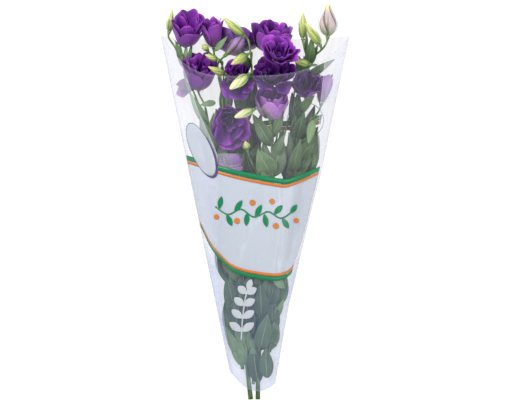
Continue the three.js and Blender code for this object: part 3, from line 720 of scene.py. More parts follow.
budPlaces = [
    placed((-133.4, 286, 42), (0.15, 0.98, 0.1), "a", 0.9, length=34, radius=4.8, via=[(-114, 214, 30),
           (-127, 244, 38)]),
    placed((-36, 272, 76), (-0.76, 0.65, 0.1), "c", 0.92, length=42, radius=6, via=[(-9, 188, 30),
           (-9, 230, 76)]),
    placed((72, 277, 52), (0, 0.99, 0.1), "e", 0.96, length=40, radius=6.5),
    placed((86, 262, 66), (-0.55, 0.8, 0.15), "e", 1, length=40, radius=6.5),
    placed((111, 285, 50), (0.02, 0.99, 0.1), "e", 0.98, length=50, radius=12.8, kind="mauve"),
    placed((-33, 243, 62), (0.72, 0.66, 0.1), "b", 0.92, length=39, radius=9, kind="lilac",
           via=[(-56, 186, 34), (-60, 216, 50)]),
    placed((-62, 205, 70), (-0.75, 0.3, 0.5), "b", 0.95, length=30, radius=5, via=[(-40, 150, 16),
           (-46, 186, 44)]),
    placed((-27, 183, 108), (-0.79, -0.61, 0.05), "c", 0.97, length=34, radius=7, kind="cream",
           via=[(-8, 190, 34), (-7, 204, 90)]),
    placed((67, 216, 86), (-0.95, 0.25, 0.15), "e", 0.95, length=26, radius=5),
    placed((-20, 138, 78), (-0.9, -0.38, 0.1), "d", 0.9, length=30, radius=6, kind="cream"),
    placed((-16, 91, 58), (-0.2, 0.9, 0.3), "d", 0.7, length=13, radius=5.5),
    placed((-70, 226, 66), (-0.9, 0.35, 0.1), "b", 0.9, length=20, radius=4.5, via=[(-46, 150, 14),
           (-56, 200, 44)]),
    placed((-27, 219, 88), (-0.8, -0.5, 0.1), "c", 0.944, length=28, radius=6.5, via=[(-8, 192, 30),
           (-8, 220, 74)]),
    placed((-80, 243, 56), (-0.5, 0.6, 0.6), "b", 0.88, length=12, radius=4.5, via=[(-54, 150, 14),
           (-54, 218, 28)]),
]

buds = {
    "around": 40, "along": 26, "foot": 1.8,
    "ends": 1.2,  # what foot and tip add to the radius at the middle
    "furlRise": 0.85, "furlDrop": 0.15,  # each petal's edge rises over most of its width and drops at its end
    # crestTone lifts each furl's crest out of the painted groove shade, and from tipStart tipTone keeps the
    # tip clear of it
    "crestTone": 1.4, "tipStart": 0.96, "tipTone": 0.4,
    # petals, twist, how far each edge stands proud, powers of the taper to tip and foot, tip radius
    "green": (5, 1.3, 0.13, 0.7, 0.9, 0.5), "cream": (5, 1.3, 0.1, 0.75, 0.75, 1.2),
    "mauve": (4, 1.0, 0.2, 0.62, 1.6, 3.8), "lilac": (4, 0.8, 0.16, 1.35, 0.85, 2.2),
}


def budRadius(bud, share):
    tip, foot, blunt = buds[bud.get("kind", "green")][3:]
    swell = math.sin(math.pi * clamp(share, 0, 1) ** tip) ** foot
    return buds["foot"] * (1 - share) + blunt * share + (bud["radius"] - buds["ends"]) * swell


def makeBud(number, bud):
    base, _, aim = headFrame(bud, bud["length"])
    kind = bud.get("kind", "green")
    furls, twist, lift = buds[kind][:3]
    rises, drops = buds["furlRise"], buds["furlDrop"]
    bm = blankMesh()
    made = bmesh.ops.create_uvsphere(bm, u_segments=buds["around"], v_segments=buds["along"], radius=1)
    along, across, tone = layersOf(bm)
    for vert in made["verts"]:
        share = math.acos(clamp(-vert.co.z, -1, 1)) / math.pi
        angle = math.atan2(vert.co.y, vert.co.x)
        turns = furls * angle / (2 * math.pi) + twist * share
        furl = turns - math.floor(turns)
        # the tone drops where a petal's edge tucks under the next, and there the material paints groove shade
        edge = smooth(furl / rises) if furl < rises else 1 - smooth((furl - rises) / drops)
        tipTone = buds["tipTone"] if share > buds["tipStart"] else 0
        vert[along], vert[across] = share, angle
        vert[tone] = clamp(edge * buds["crestTone"] + tipTone, 0, 1)
        atPole = abs(vert.co.z) > 0.9999
        reach = 0 if atPole else budRadius(bud, share) * (1 + lift * (edge - 0.5) * math.sin(math.pi * share))
        spot = Vector((reach * math.cos(angle), reach * math.sin(angle), share * bud["length"]))
        vert.co = (base + aim @ spot) * mm
    material, slotName = budFinishes[kind]
    newPiece(f"bud_{number}_furled", bm, [material], [f"bud_{number}"])


for number, bud in enumerate(budPlaces, 1):
    makeBud(number, bud)
print("buds made:", len(budPlaces))


# Stems, their branches, the calyx cups and the sepals

stemPaths = {
    # points up each stem from its cut end
    "a": [(-22, -262, 5.5), (-31, -200, 9), (-43, -100, 15), (-56, 0, 21), (-69, 90, 27), (-80, 150, 27)],
    "b": [(-9.2, -310, 4), (-14.5, -262, 4), (-22, -150, 18), (-32, -40, 24), (-44, 40, 18), (-47, 95, 24)],
    "c": [(-5, -286, 4), (-5, -262, 4), (-6, -150, 6), (-4, -40, 9), (-8, 60, 12), (-14, 140, 18),
          (-26, 184, 36)],
    "d": [(2, -310, 4), (3, -262, 4), (10, -150, 18), (18, -40, 30), (24, 60, 36), (24, 121, 39)],
    "e": [(14, -272, 4), (17, -248, 4), (34, -150, 8), (48, -40, 12), (58, 60, 14), (64, 130, 14),
          (70, 180, 14), (78, 208, 18), (84, 226, 30)],
}

stalks = {
    "footRadius": {"a": 2.9, "b": 3.9, "c": 2.6, "d": 3.7, "e": 2.8}, "topRadius": 1.9, "taper": 0.7,
    "branchRadius": 1.45, "branchBow": 0.4, "lastFork": 0.999, "smoothness": 3,
    "calyxRadius": 3.3, "calyxHeight": 5.5, "bloomSeat": 1.5, "gap": 0.3,
    "cupPoints": (4.4, 3.3, 2.2, 1.1), "cupRoom": 5,  # extra points of a branch, counted back from its end
    "sepals": 5, "sepalWidth": 1.5, "sepalThickness": 0.4, "sepalLean": (0.5, 2.4),
    "sepalTone": (0.5, 1), "sepalCells": (2, 10), "weldGap": 0.001,
    "sepalRoot": 2.2, "sepalGrip": 0.12,  # starts this far out and down, and holds the cup for this share
    "budReach": (0.5, 0.72), "bloomReach": (0.34, 0.46),
}


def isBloom(head):
    return "rim" in head


def headLength(head):
    return head["height"] if isBloom(head) else head["length"]


def seatDepth(head):
    return stalks["bloomSeat"] if isBloom(head) else 0


def branchRoute(stem, head):
    base, facing, _ = headFrame(head, headLength(head))
    root, away = pointOn(stem, min(head["from"], stalks["lastFork"]))
    seat = base - facing * (seatDepth(head) + stalks["gap"])
    neck = seat - facing * stalks["calyxHeight"] * 1.5
    if head.get("via"):
        return routeThrough([root, *head["via"], neck, seat])
    bow = (seat - root).length * stalks["branchBow"]
    return bezierRoute(root, root + away * bow, seat - facing * bow, seat)


def branchRadii(route):
    # slim, and flared at the end into the calyx cup
    left = [0.0]
    for a, b in zip(reversed(route), list(reversed(route))[1:]):
        left.append(left[-1] + (b - a).length)
    cup = stalks["calyxHeight"]
    return [
        mix(stalks["branchRadius"], stalks["calyxRadius"], smooth(1 - d / cup) ** 0.7 if d < cup else 0)
        for d in reversed(left)
    ]


def withFineEnd(route):
    # extra points near the cup, so that its flare is round
    end, before = route[-1], route[-2]
    last = (end - before).length
    direction = (before - end).normalized()
    extra = [end + direction * d for d in stalks["cupPoints"] if d < last]
    kept = [p for p in route[:-1] if (p - end).length > stalks["cupRoom"]]
    return [*kept, *extra, end]


def addStalk(curve, route, radii):
    spline = curve.splines.new("POLY")
    spline.points.add(len(route) - 1)
    for point, spot, radius in zip(spline.points, route, radii):
        point.co = (*(spot * mm), 1)
        point.radius = radius


def makeStalks(letter, stem, heads):
    curve = bpy.data.curves.new(f"stalk_line_{letter}", "CURVE")
    curve.dimensions = "3D"
    curve.bevel_depth = mm
    curve.bevel_resolution = stalks["smoothness"]
    curve.use_fill_caps = True
    foot, top, steps = stalks["footRadius"][letter], stalks["topRadius"], len(stem)
    addStalk(curve, stem, [mix(foot, top, (i / steps) ** stalks["taper"]) for i in range(steps)])
    for head in heads:
        route = withFineEnd(branchRoute(stem, head))
        addStalk(curve, route, branchRadii(route))
    holder = bpy.data.objects.new(f"stalk_holder_{letter}", curve)
    scene.collection.objects.link(holder)
    bpy.context.view_layer.update()
    swept = bpy.data.meshes.new_from_object(holder.evaluated_get(bpy.context.evaluated_depsgraph_get()))
    bm = blankMesh()
    bm.from_mesh(swept)
    bpy.data.objects.remove(holder)
    bpy.data.meshes.remove(swept)
    bmesh.ops.remove_doubles(bm, verts=bm.verts, dist=stalks["weldGap"] * mm)
    bmesh.ops.recalc_face_normals(bm, faces=bm.faces)
    newPiece(f"stem_{letter}_stalks", bm, [stalkGreen], [f"stem_{letter}"])


def addSepal(bm, head, turn, rng):
    base, _, aim = headFrame(head, headLength(head))
    reach = rng.uniform(*stalks["bloomReach" if isBloom(head) else "budReach"])
    lean = rng.uniform(*stalks["sepalLean"])
    root, grip = stalks["sepalRoot"], stalks["sepalGrip"]
    squeeze = head.get("squeeze", (1, 1))

    def line(s):
        # follows the outside of the head, and leans away from it towards the tip
        share = s * reach
        if isBloom(head):
            r, z = petalProfile(head, head["rim"], head["height"] * 0.94, 0.2, (petals["root"], 0), share)
            return r + 1.1 + lean * s**3, z - 1.0
        return budRadius(head, share) * 1.1 + 0.45 + lean * s**4, share * head["length"]

    def place(u, v):
        r, z = line(clamp((v - grip) / (1 - grip), 0, 1))
        if v < grip:
            r, z = mix(root, r, v / grip), mix(-root - seatDepth(head), z, v / grip)
        half = stalks["sepalWidth"] * (1 - v) ** 0.6 * (0.6 + 0.4 * min(1, v * 8)) / 2 + 0.12
        spot = Vector((squeeze[0] * r * math.cos(turn), squeeze[1] * r * math.sin(turn), z))
        return base + aim @ (spot + Vector((-math.sin(turn), math.cos(turn), 0)) * u * half)

    addSheet(bm, *stalks["sepalCells"], place, rng.uniform(*stalks["sepalTone"]))


def makeSepals(letter, heads, rng):
    bm = blankMesh()
    for head in heads:
        start = rng.uniform(0, fullTurn)
        for i in range(stalks["sepals"]):
            addSepal(bm, head, start + i * 2 * math.pi / stalks["sepals"], rng)
    piece = newPiece(f"stem_{letter}_sepals", bm, [leafGreen], [f"stem_{letter}"])
    thicken(piece, stalks["sepalThickness"])
    fine = piece.modifiers.new("fine", "SUBSURF")
    fine.levels = fine.render_levels = 1


# Leaves: opposite pairs up each stem, pressed between the panels

leaves = {
    "columns": 8, "rows": 16, "thickness": 0.45, "fold": 0.16, "wave": 1.0, "seed": 21,
    "bellyShare": 0.45, "sideGap": 7,  # where a leaf is widest, and its room to the sleeve's side
    "filmGap": 1.6, "weldGap": 3, "edgeGap": 2,
    "wavesRange": (3.5, 5.5), "archRange": (0.04, 0.1), "bendRange": (-0.08, 0.08), "toneRange": (0.1, 0.7),
    # share of the stem's length, side, lean away from the stem, rise to the front, length, width
    "a": [(0.1, 1, 0.1, 0.05, 58, 18), (0.22, -1, 0.1, 0, 60, 22), (0.36, 1, 0.22, 0.1, 66, 26),
          (0.48, -1, 0.16, 0, 62, 26), (0.6, 1, 0.3, 0.1, 60, 26), (0.74, -1, 0.12, 0.05, 58, 22),
          (0.86, 1, 0.35, 0.2, 50, 20)],
    "b": [(0.2, -1, 0.14, 0.15, 62, 22), (0.34, 1, 0.2, 0.2, 64, 24), (0.46, -1, 0.22, 0.2, 64, 26),
          (0.6, 1, 0.2, 0.25, 66, 28), (0.72, -1, 0.25, 0.25, 50, 24)],
    "c": [(0.3, -1, 0.15, 0, 64, 26), (0.42, 1, 0.2, 0, 62, 28), (0.55, -1, 0.2, 0.05, 64, 28),
          (0.68, 1, 0.22, 0.1, 60, 28), (0.8, -1, 0.2, 0, 50, 22)],
    "d": [(0.18, 1, 0.16, 0.15, 64, 24), (0.3, -1, 0.1, 0.2, 60, 22), (0.42, 1, 0.2, 0.2, 66, 28),
          (0.56, 1, 0.3, 0.2, 68, 32), (0.7, -1, 0.25, 0.25, 64, 32), (0.82, 1, 0.3, 0.15, 58, 28)],
    "e": [(0.08, 1, 0.1, 0.05, 58, 26), (0.22, 1, 0.12, 0.05, 62, 26), (0.36, -1, 0.16, 0.1, 60, 26),
          (0.48, 1, 0.2, 0.1, 64, 28), (0.6, 1, 0.18, 0.15, 62, 26), (0.7, 1, 0.3, 0.15, 60, 24),
          (0.8, -1, 0.1, 0.2, 44, 16)],
    # further dark leaves of each stem, drawn at random between its others, their dark tone partly painted
    # shade inside the bunch
    "fillers": 12, "fillerShare": (0.06, 0.82), "fillerLean": (0.05, 0.25), "fillerRise": (-0.15, 0.1),
    "fillerLength": (54, 84), "fillerWidth": (15, 26), "fillerTone": (0, 0.3),
}

# leaves that show at the front: a share of the stem's length or a point on a stalk, then tip, width and tone;
# a tone near 0 is partly painted shade for leaves deep in the bunch
shownLeaves = {
    "a": [
        (0.83, (-88, 140, 40), 16, 0.7), (0.87, (-66, 142, 44), 12, 0.6), (0.927, (-104, 174, 40), 13, 0.95),
        ((-113, 212, 30), (-126, 254, 46), 9, 0.35), ((-110, 205, 28), (-100, 252, 42), 7, 0.3),
        ((-113, 210, 34), (-109, 250, 38), 7, 0.85), ((-115, 214, 36), (-119, 250, 42), 6, 0.6),
        (0.012, (-44, -203, 12), 15, 0.8), (0.04, (-52, -190, 16), 14, 0.7),
        ((-64, 158, 36), (-87, 154, 44), 9, 0.9), ((-66, 92, 26), (-93, 152, 30), 11, 0.2),
        ((-60, 70, 22), (-78, 130, 26), 14, 0.1), ((-62, 84, 30), (-74, 120, 40), 10, 0.75),
    ],
    "b": [
        ((-64, 236, 58), (-45, 257, 70), 7.5, 1.0), (0.13, (-31, -210, 14), 12, 0.75),
        ((-53, 80, 30), (-60, 104, 38), 12, 0.1), ((-40, 78, 24), (-26, 100, 34), 14, 0.15),
        ((-50, 140, 16), (-46, 204, 34), 20, 0.05), ((-48, 90, 14), (-64, 150, 20), 20, 0.1),
        ((-46, 60, 14), (-58, 112, 20), 22, 0.05),
    ],
    "c": [
        (0.7, (-18, 86, 54), 22, 0.2), (0.276, (3, -112, 30), 16, 0.6), (0.1, (-14, -202, 16), 13, 0.65),
        (0.08, (-6, -224, 12), 11, 0.6), (0.2, (5, -168, 20), 12, 0.7),
        ((-9, 212, 56), (-23, 231, 72), 11, 0.1), ((-14, 130, 16), (-34, 196, 26), 24, 0.05),
        ((-12, 140, 18), (-4, 204, 30), 20, 0.08), ((-10, 70, 10), (-24, 130, 14), 24, 0.05),
        ((-8, 40, 10), (-40, 96, 14), 26, 0.1), ((-8, 60, 10), (2, 120, 14), 14, 0.05),
        ((-6, 36, 10), (6, 96, 16), 16, 0.1),
    ],
    "d": [
        (0.82, (2, 84, 64), 30, 0.6), (0.88, (44, 108, 60), 13, 0.35), (0.93, (-6, 139, 58), 20, 0.25),
        (0.96, (42, 144, 56), 14, 0.35), ((24, 60, 24), (44, 122, 30), 9, 0.2),
        ((22, 40, 20), (30, 100, 24), 12, 0.05), ((17, -275, 12), (15, -226, 16), 21, 0.2),
        ((20, -160, 14), (31, -98, 22), 18, 0.12), ((42, -132, 34), (22, -106, 46), 12, 0.95),
    ],
    "e": [
        ((88, 130, 50), (80, 92, 60), 12, 0.95), ((90, 54, 24), (98, 108, 30), 11, 0.35),
        (0.829, (90, 168, 58), 14, 0.6), (0.634, (50, 112, 54), 13, 0.15), (0.63, (68, 100, 56), 18, 0.3),
        (0.648, (97, 113, 48), 20, 0.3), (0.7, (86, 104, 50), 16, 0.2), (0.735, (74, 142, 54), 20, 0.2),
        (0.75, (60, 138, 50), 16, 0.15), (0.268, (46, -118, 28), 12, 0.95), (0.1, (27, -212, 14), 20, 0.7),
        (0.18, (43, -150, 16), 10, 0.85), (0.12, (29, -186, 18), 22, 0.45),
        ((76, 238, 40), (78, 263, 56), 5, 0.4), (0.98, (86, 258, 62), 14, 0.45),
        (0.98, (95, 246, 50), 11, 0.35), (0.93, (121, 224, 52), 12, 0.5), (0.93, (59, 223, 62), 12, 0.2),
        (0.94, (73, 228, 64), 13, 0.3),
        ((60, 56, 12), (97, 122, 22), 20, 0.05), ((57, 26, 12), (98, 88, 24), 24, 0.1),
        ((64, 84, 12), (92, 156, 20), 18, 0.05), ((58, 40, 14), (76, 112, 20), 26, 0.05),
        ((60, 70, 14), (70, 144, 18), 24, 0.08), ((54, 20, 12), (62, 90, 18), 20, 0.1),
        ((62, 90, 16), (100, 140, 30), 14, 0.4), ((56, 30, 16), (92, 84, 30), 14, 0.35),
        ((60, 120, 16), (56, 176, 18), 16, 0.1),
    ],
}


def pressed(spot):
    # holds a point between the two panels
    if spot.y > sleeve["mouthY"]:
        return spot
    gap, weldGap = leaves["filmGap"], leaves["weldGap"]
    x = clamp(spot.x, weldGap - filmHalf(spot.y, -1), filmHalf(spot.y, 1) - weldGap)
    low = backZ(x, spot.y) + gap
    if spot.y > frontEdgeY(x) - leaves["edgeGap"]:
        return Vector((x, spot.y, max(low, spot.z)))
    high = frontZ(x, spot.y) - gap
    return Vector((x, spot.y, clamp(spot.z, low, max(low, high))))


def keptIn(root, tip, width):
    # turns a leaf away from the sleeve's side where it would be cut off by it
    middle = root.lerp(tip, leaves["bellyShare"])
    excess = abs(middle.x) - (filmHalf(middle.y, middle.x) - width / 2 - leaves["sideGap"])
    if excess <= 0 or middle.y > sleeve["mouthY"]:
        return tip
    return tip - Vector((math.copysign(excess / leaves["bellyShare"], middle.x), 0, 0))


def addLeaf(bm, root, along, length, width, tone, rng):
    reach = keptIn(root, root + along * length, width) - root
    along, length = reach.normalized(), reach.length
    across = along.cross(up).normalized()
    above = across.cross(along)
    waves, phase = rng.uniform(*leaves["wavesRange"]), rng.uniform(0, fullTurn)
    arch = length * rng.uniform(*leaves["archRange"])
    bend = rng.uniform(*leaves["bendRange"]) * length

    def place(u, v):
        belly = max(0.0, math.sin(math.pi * v**0.8)) ** 0.9
        half = width / 2 * (0.16 * (1 - v) + 0.98 * belly) + 0.25
        wave = leaves["wave"] * math.sin(waves * math.pi * v + phase + u) * abs(u) ** 1.5
        lift = arch * math.sin(math.pi * v) + abs(u) * half * leaves["fold"] + wave
        return pressed(root + along * v * length + across * (u * half + bend * v * (1 - v)) + above * lift)

    addSheet(bm, leaves["columns"], leaves["rows"], place, tone)


def addStemLeaf(bm, stem, row, tone, rng):
    share, side, lean, rise, length, width = row
    root, forward = pointOn(stem, share)
    right = forward.cross(up).normalized()
    along = (forward * math.cos(lean) + right * side * math.sin(lean) + up * rise).normalized()
    addLeaf(bm, root, along, length, width, tone, rng)


def addShownLeaf(bm, stem, row, rng):
    start, tip, width, tone = row
    root = Vector(start) if isinstance(start, tuple) else pointOn(stem, start)[0]
    reach = Vector(tip) - root
    addLeaf(bm, root, reach.normalized(), reach.length, width, tone, rng)


def fillerRow(rng):
    return (
        rng.uniform(*leaves["fillerShare"]), rng.choice((-1, 1)), rng.uniform(*leaves["fillerLean"]),
        rng.uniform(*leaves["fillerRise"]), rng.uniform(*leaves["fillerLength"]),
        rng.uniform(*leaves["fillerWidth"]),
    )


def makeLeaves(letter, stem, rng):
    bm = blankMesh()
    for row in leaves[letter]:
        addStemLeaf(bm, stem, row, rng.uniform(*leaves["toneRange"]), rng)
    for row in shownLeaves[letter]:
        addShownLeaf(bm, stem, row, rng)
    for _ in range(leaves["fillers"]):
        addStemLeaf(bm, stem, fillerRow(rng), rng.uniform(*leaves["fillerTone"]), rng)
    piece = newPiece(f"stem_{letter}_leaves", bm, [leafGreen], [f"stem_{letter}"])
    thicken(piece, leaves["thickness"])


for letter, path in stemPaths.items():
    rng = random.Random(leaves["seed"] + ord(letter))
    stem = routeThrough(path)
    heads = [head for head in (*bloomPlaces, *budPlaces) if head["stem"] == letter]
    makeStalks(letter, stem, heads)
    makeSepals(letter, heads, rng)
    makeLeaves(letter, stem, rng)
print("stems and leaves made:", len(stemPaths))


# The film sleeve: two panels welded along their sides

def filmPoint(u, v, topEdge, height):
    top = edgeAt(u, topEdge, sleeve["mouthY"])
    foot = edgeAt(u, footEdgeY, sleeve["footY"])
    y = mix(foot, top, v)
    x = u * filmHalf(y, u)
    return x, y, height(x, y)


def makeSleeve():
    bm = blankMesh()
    columns, rows = sleeve["columns"], sleeve["rows"]
    addSheet(bm, columns, rows, lambda u, v: filmPoint(u, v, frontEdgeY, frontZ))
    back = addSheet(bm, columns, rows, lambda u, v: filmPoint(u, v, lambda x: sleeve["mouthY"], backZ), 1.0)
    bmesh.ops.reverse_faces(bm, faces=list({face for vert in back for face in vert.link_faces}))
    bmesh.ops.remove_doubles(bm, verts=bm.verts, dist=sleeve["weldGap"] * mm)
    piece = newPiece("sleeve_film", bm, [filmClear], ["sleeve"])
    thicken(piece, sleeve["thickness"], offset=-1)


makeSleeve()
print("sleeve made")


# Side folds: at both sides the film lies double over the front

folds = {
    "lift": 1.0, "columns": 14, "rows": 110, "weld": 0.985, "thickness": 0.2, "footGap": 6, "mouthGap": 1,
    # where the fold's inner edge lies: (y, share of the half width)
    "left": [(-262, 0.88), (-180, 0.855), (-90, 0.79), (-30, 0.664), (20, 0.572), (53, 0.55), (76, 0.538),
             (94, 0.582), (110, 0.625), (142, 0.708), (175, 0.759), (209, 0.808), (262, 0.862)],
    "right": [(-262, 0.97), (-180, 0.95), (-112, 0.89), (-87, 0.91), (-60, 0.95), (-30, 0.97), (30, 0.965),
              (56, 0.95), (110, 0.83), (156, 0.797), (225, 0.761), (262, 0.76)],
}


def foldPoint(u, v, side, sign):
    low = sleeve["footY"] + folds["footGap"]
    y = mix(low, sleeve["mouthY"], v)
    for _ in range(6):  # the fold's top follows the film's edge, found in steps
        share = sign * mix(curveAt(folds[side], y), folds["weld"], (sign * u + 1) / 2)
        top = edgeAt(share, frontEdgeY, sleeve["mouthY"])
        y = mix(low, top - folds["mouthGap"], v)
    x = share * filmHalf(y, share)
    return x, y, frontZ(x, y) + folds["lift"]


def makeFolds():
    bm = blankMesh()
    for side, sign in (("left", -1), ("right", 1)):
        addSheet(bm, folds["columns"], folds["rows"], lambda u, v: foldPoint(u, v, side, sign))
    piece = newPiece("sleeve_folds", bm, [filmFold])
    thicken(piece, folds["thickness"], offset=1)


makeFolds()


# The print on the front panel: a pale band between stripes, with a vine, an oval and a leaf sprig.
# The edges are lists of (share of the half width, y).

prints = {
    "thickness": 0.12, "bandLift": 0.5, "lift": 1.5, "ovalLift": 1.9, "backLift": 0.5,
    "bandTop": [(-0.985, 68), (-0.77, 60), (-0.565, 51.7), (-0.23, 42), (0.21, 33.2), (0.445, 30.2),
                (0.587, 33.6), (0.97, 51)],
    "bandFoot": [(-0.99, -28), (-0.86, -63), (-0.728, -79.5), (-0.482, -98.5), (-0.2, -106.5), (0.23, -111.5),
                 (0.497, -112.8), (0.706, -110.3), (0.83, -104.5), (0.92, -95), (1.0, -84)],
    "bandLeft": -0.985,
    # the band's right side leans: (y, share of the half width)
    "bandRight": [(-110, 0.87), (-99, 0.88), (-87, 0.9), (-60, 0.945), (-40, 0.97), (6, 0.968), (54, 0.96)],
    "mistTop": 77.5, "mistSides": (-0.545, -0.163),  # a faint haze above the band's left half
    "bandCells": (90, 60), "mistCells": (30, 12), "stripeCells": (110, 2), "backCells": (60, 2),
    "leafCells": (6, 12),
    "greenWidth": 8.2, "lowGreenWidth": 6.4, "orangeWidth": 4.4, "stripeGap": 0.5, "bandGap": 0.3,
    # the back panel's two stripes, which show between the stems
    "backLine": [(-0.32, 116), (-0.09, 122.5), (0.22, 129.4), (0.37, 127.6), (0.6, 130), (0.86, 137)],
    "backGreen": 8.5, "backOrange": 6,
}


def softCurve(points):
    # rounds the corners of a list of (u, y) pairs
    return [(p.x, p.y) for p in routeThrough([(u, y, 0) for u, y in points], 8)]


bandTop = softCurve(prints["bandTop"])
bandFoot = softCurve(prints["bandFoot"])
backLine = softCurve(prints["backLine"])


def finishPrint(name, bm, ink):
    piece = newPiece(name, bm, [ink])
    thicken(piece, prints["thickness"], offset=1)


def addBand(bm, lowEdge, highEdge, cells, lift, surface=frontZ, sides=None):
    def place(u, v):
        y = 0
        for _ in range(5):  # the right side leans, so each point is found in steps
            left, right = sides or (prints["bandLeft"], curveAt(prints["bandRight"], y))
            share = mix(left, right, (u + 1) / 2)
            y = mix(lowEdge(share), highEdge(share), v)
        x = share * filmHalf(y, share)
        return x, y, surface(x, y) + lift

    addSheet(bm, *cells, place)


def bandEdge(curve, shift):
    return lambda share: curveAt(curve, share) + shift


def makeBand():
    lift = prints["bandLift"]
    band, mist = blankMesh(), blankMesh()
    addBand(band, bandEdge(bandFoot, 0), bandEdge(bandTop, 0), prints["bandCells"], lift)
    aboveStripe = bandEdge(bandTop, prints["greenWidth"] + 2 * prints["bandGap"])
    addBand(mist, aboveStripe, lambda share: prints["mistTop"], prints["mistCells"], lift,
            sides=prints["mistSides"])
    finishPrint("sleeve_band", band, inkPale)
    finishPrint("sleeve_mist", mist, inkMist)


def makeStripes():
    green, lowGreen, orange = prints["greenWidth"], prints["lowGreenWidth"], prints["orangeWidth"]
    backGreen, backOrange = prints["backGreen"], prints["backOrange"]
    apart, off = prints["stripeGap"], prints["bandGap"]
    stripes = {
        # ink, then the edge, start and width of each front stripe, and the start and width of the back one
        "green": (inkGreen, [(bandTop, off, green), (bandFoot, -apart - lowGreen, lowGreen)],
                  -backGreen / 2, backGreen),
        "orange": (inkOrange, [(bandTop, -apart - orange, orange), (bandFoot, off, orange)],
                   -backGreen / 2 - apart - backOrange, backOrange),
    }
    backSides = (prints["backLine"][0][0], prints["backLine"][-1][0])
    for colour, (ink, frontStripes, backStart, backWidth) in stripes.items():
        bm = blankMesh()
        for edge, start, width in frontStripes:
            low, high = bandEdge(edge, start), bandEdge(edge, start + width)
            addBand(bm, low, high, prints["stripeCells"], prints["lift"])
        low, high = bandEdge(backLine, backStart), bandEdge(backLine, backStart + backWidth)
        addBand(bm, low, high, prints["backCells"], prints["backLift"], backZ, backSides)
        finishPrint(f"sleeve_{colour}_stripes", bm, ink)


def onFront(spot, lift):
    return spot.x, spot.y, frontZ(spot.x, spot.y) + lift


def addPetalPrint(bm, root, tip, width):
    # a drop-shaped print from root to tip
    start, end = Vector((*root, 0)), Vector((*tip, 0))
    along = end - start
    across = along.cross(up).normalized()

    def place(u, v):
        half = width / 2 * math.sin(math.pi * v**1.05) ** 0.75 if 0 < v < 1 else 0.0
        return onFront(start + along * v - across * u * half, prints["lift"])

    addSheet(bm, *prints["leafCells"], place)


def addLinePrint(bm, points, width):
    # a print of even width along a smooth line
    route = routeThrough([(*p, 0) for p in points])

    def place(u, v):
        spot, along = pointOn(route, v)
        return onFront(spot - along.cross(up) * u * width / 2, prints["lift"])

    addSheet(bm, 1, len(route) - 1, place)


def addDiscPrint(bm, centre, halfWidth, halfHeight, tilt, lift, cells):
    # a grid pulled round into a disc
    turnX = Vector((math.cos(tilt), math.sin(tilt)))
    turnY = Vector((-math.sin(tilt), math.cos(tilt)))

    def place(u, v):
        w = 2 * v - 1
        a, b = u * math.sqrt(1 - w * w / 2), w * math.sqrt(1 - u * u / 2)
        return onFront(Vector(centre) + turnX * a * halfWidth + turnY * b * halfHeight, lift)

    addSheet(bm, cells, cells, place)


vine = {
    # a plain vine of leaves and berries along the middle of the band
    "line": [(-64, -4), (-44, -16), (-24, -8), (-4, -20), (18, -12), (38, -22), (58, -10)], "width": 2.2,
    # foot and tip of each leaf
    "leaves": [((-58, -8), (-54, 12)), ((-46, -16), (-38, -34)), ((-34, -13), (-22, 6)),
               ((-14, -13), (-16, -34)), ((-2, -20), (8, -1)), ((12, -15), (16, -36)),
               ((27, -16), (40, -2)), ((40, -22), (50, -38)), ((52, -15), (63, -1))],
    "leafWidth": 8.5,
    # middle and radius of each berry
    "berries": [(-62, -20, 4.2), (-30, -26, 4.6), (-6, 2, 4.6), (24, 4, 4.2), (30, -34, 4.6), (62, -26, 4.2)],
    "berryCells": 8,
}

sprig = {
    # an upright sprig of opposite drop-shaped leaves on the lower film
    "line": [(-24, -214), (-23, -194), (-21, -172), (-18, -150), (-14, -134)], "width": 2.2,
    # foot and lean of each pair
    "pairs": [(-23.2, -200, 0.0), (-21.8, -179, 0.08), (-19.5, -159, 0.14), (-15.5, -140, 0.2)],
    "length": 24, "shorter": 0.25, "over": 60,  # the leaves grow shorter by this share over this height
    "leafWidth": 12.5, "spread": 0.95, "tip": (-8, -117), "tipShare": 0.8,
}

oval = {
    "centre": (-86, 84), "halfWidth": 15.5, "halfHeight": 44, "tilt": 0.43, "cells": 18,
    "ring": 0.05, "shadeSide": 0.2, "shadeTurn": 0.95,  # the ring is wider on one side
    "ringCells": 72, "weldGap": 0.01,
    "back": {"centre": (77, 132), "radius": 28, "line": 0.035},  # a thin round line on the back panel
}


def makeVine():
    greens, berries = blankMesh(), blankMesh()
    addLinePrint(greens, vine["line"], vine["width"])
    for root, tip in vine["leaves"]:
        addPetalPrint(greens, root, tip, vine["leafWidth"])
    for x, y, radius in vine["berries"]:
        addDiscPrint(berries, (x, y), radius, radius, 0, prints["lift"], vine["berryCells"])
    finishPrint("sleeve_vine", greens, inkGreen)
    finishPrint("sleeve_berries", berries, inkOrange)


def makeSprig():
    bm = blankMesh()
    addLinePrint(bm, sprig["line"], sprig["width"])
    lowest = sprig["pairs"][0][1]
    for x, y, lean in sprig["pairs"]:
        for side in (-1, 1):
            angle = math.pi / 2 - lean * 0.5 - side * sprig["spread"]
            reach = sprig["length"] * (1 - sprig["shorter"] * (y - lowest) / sprig["over"])
            tip = (x + reach * math.cos(angle), y + reach * math.sin(angle))
            addPetalPrint(bm, (x, y), tip, sprig["leafWidth"])
    addPetalPrint(bm, sprig["line"][-1], sprig["tip"], sprig["leafWidth"] * sprig["tipShare"])
    finishPrint("sleeve_sprig", bm, inkWhite)


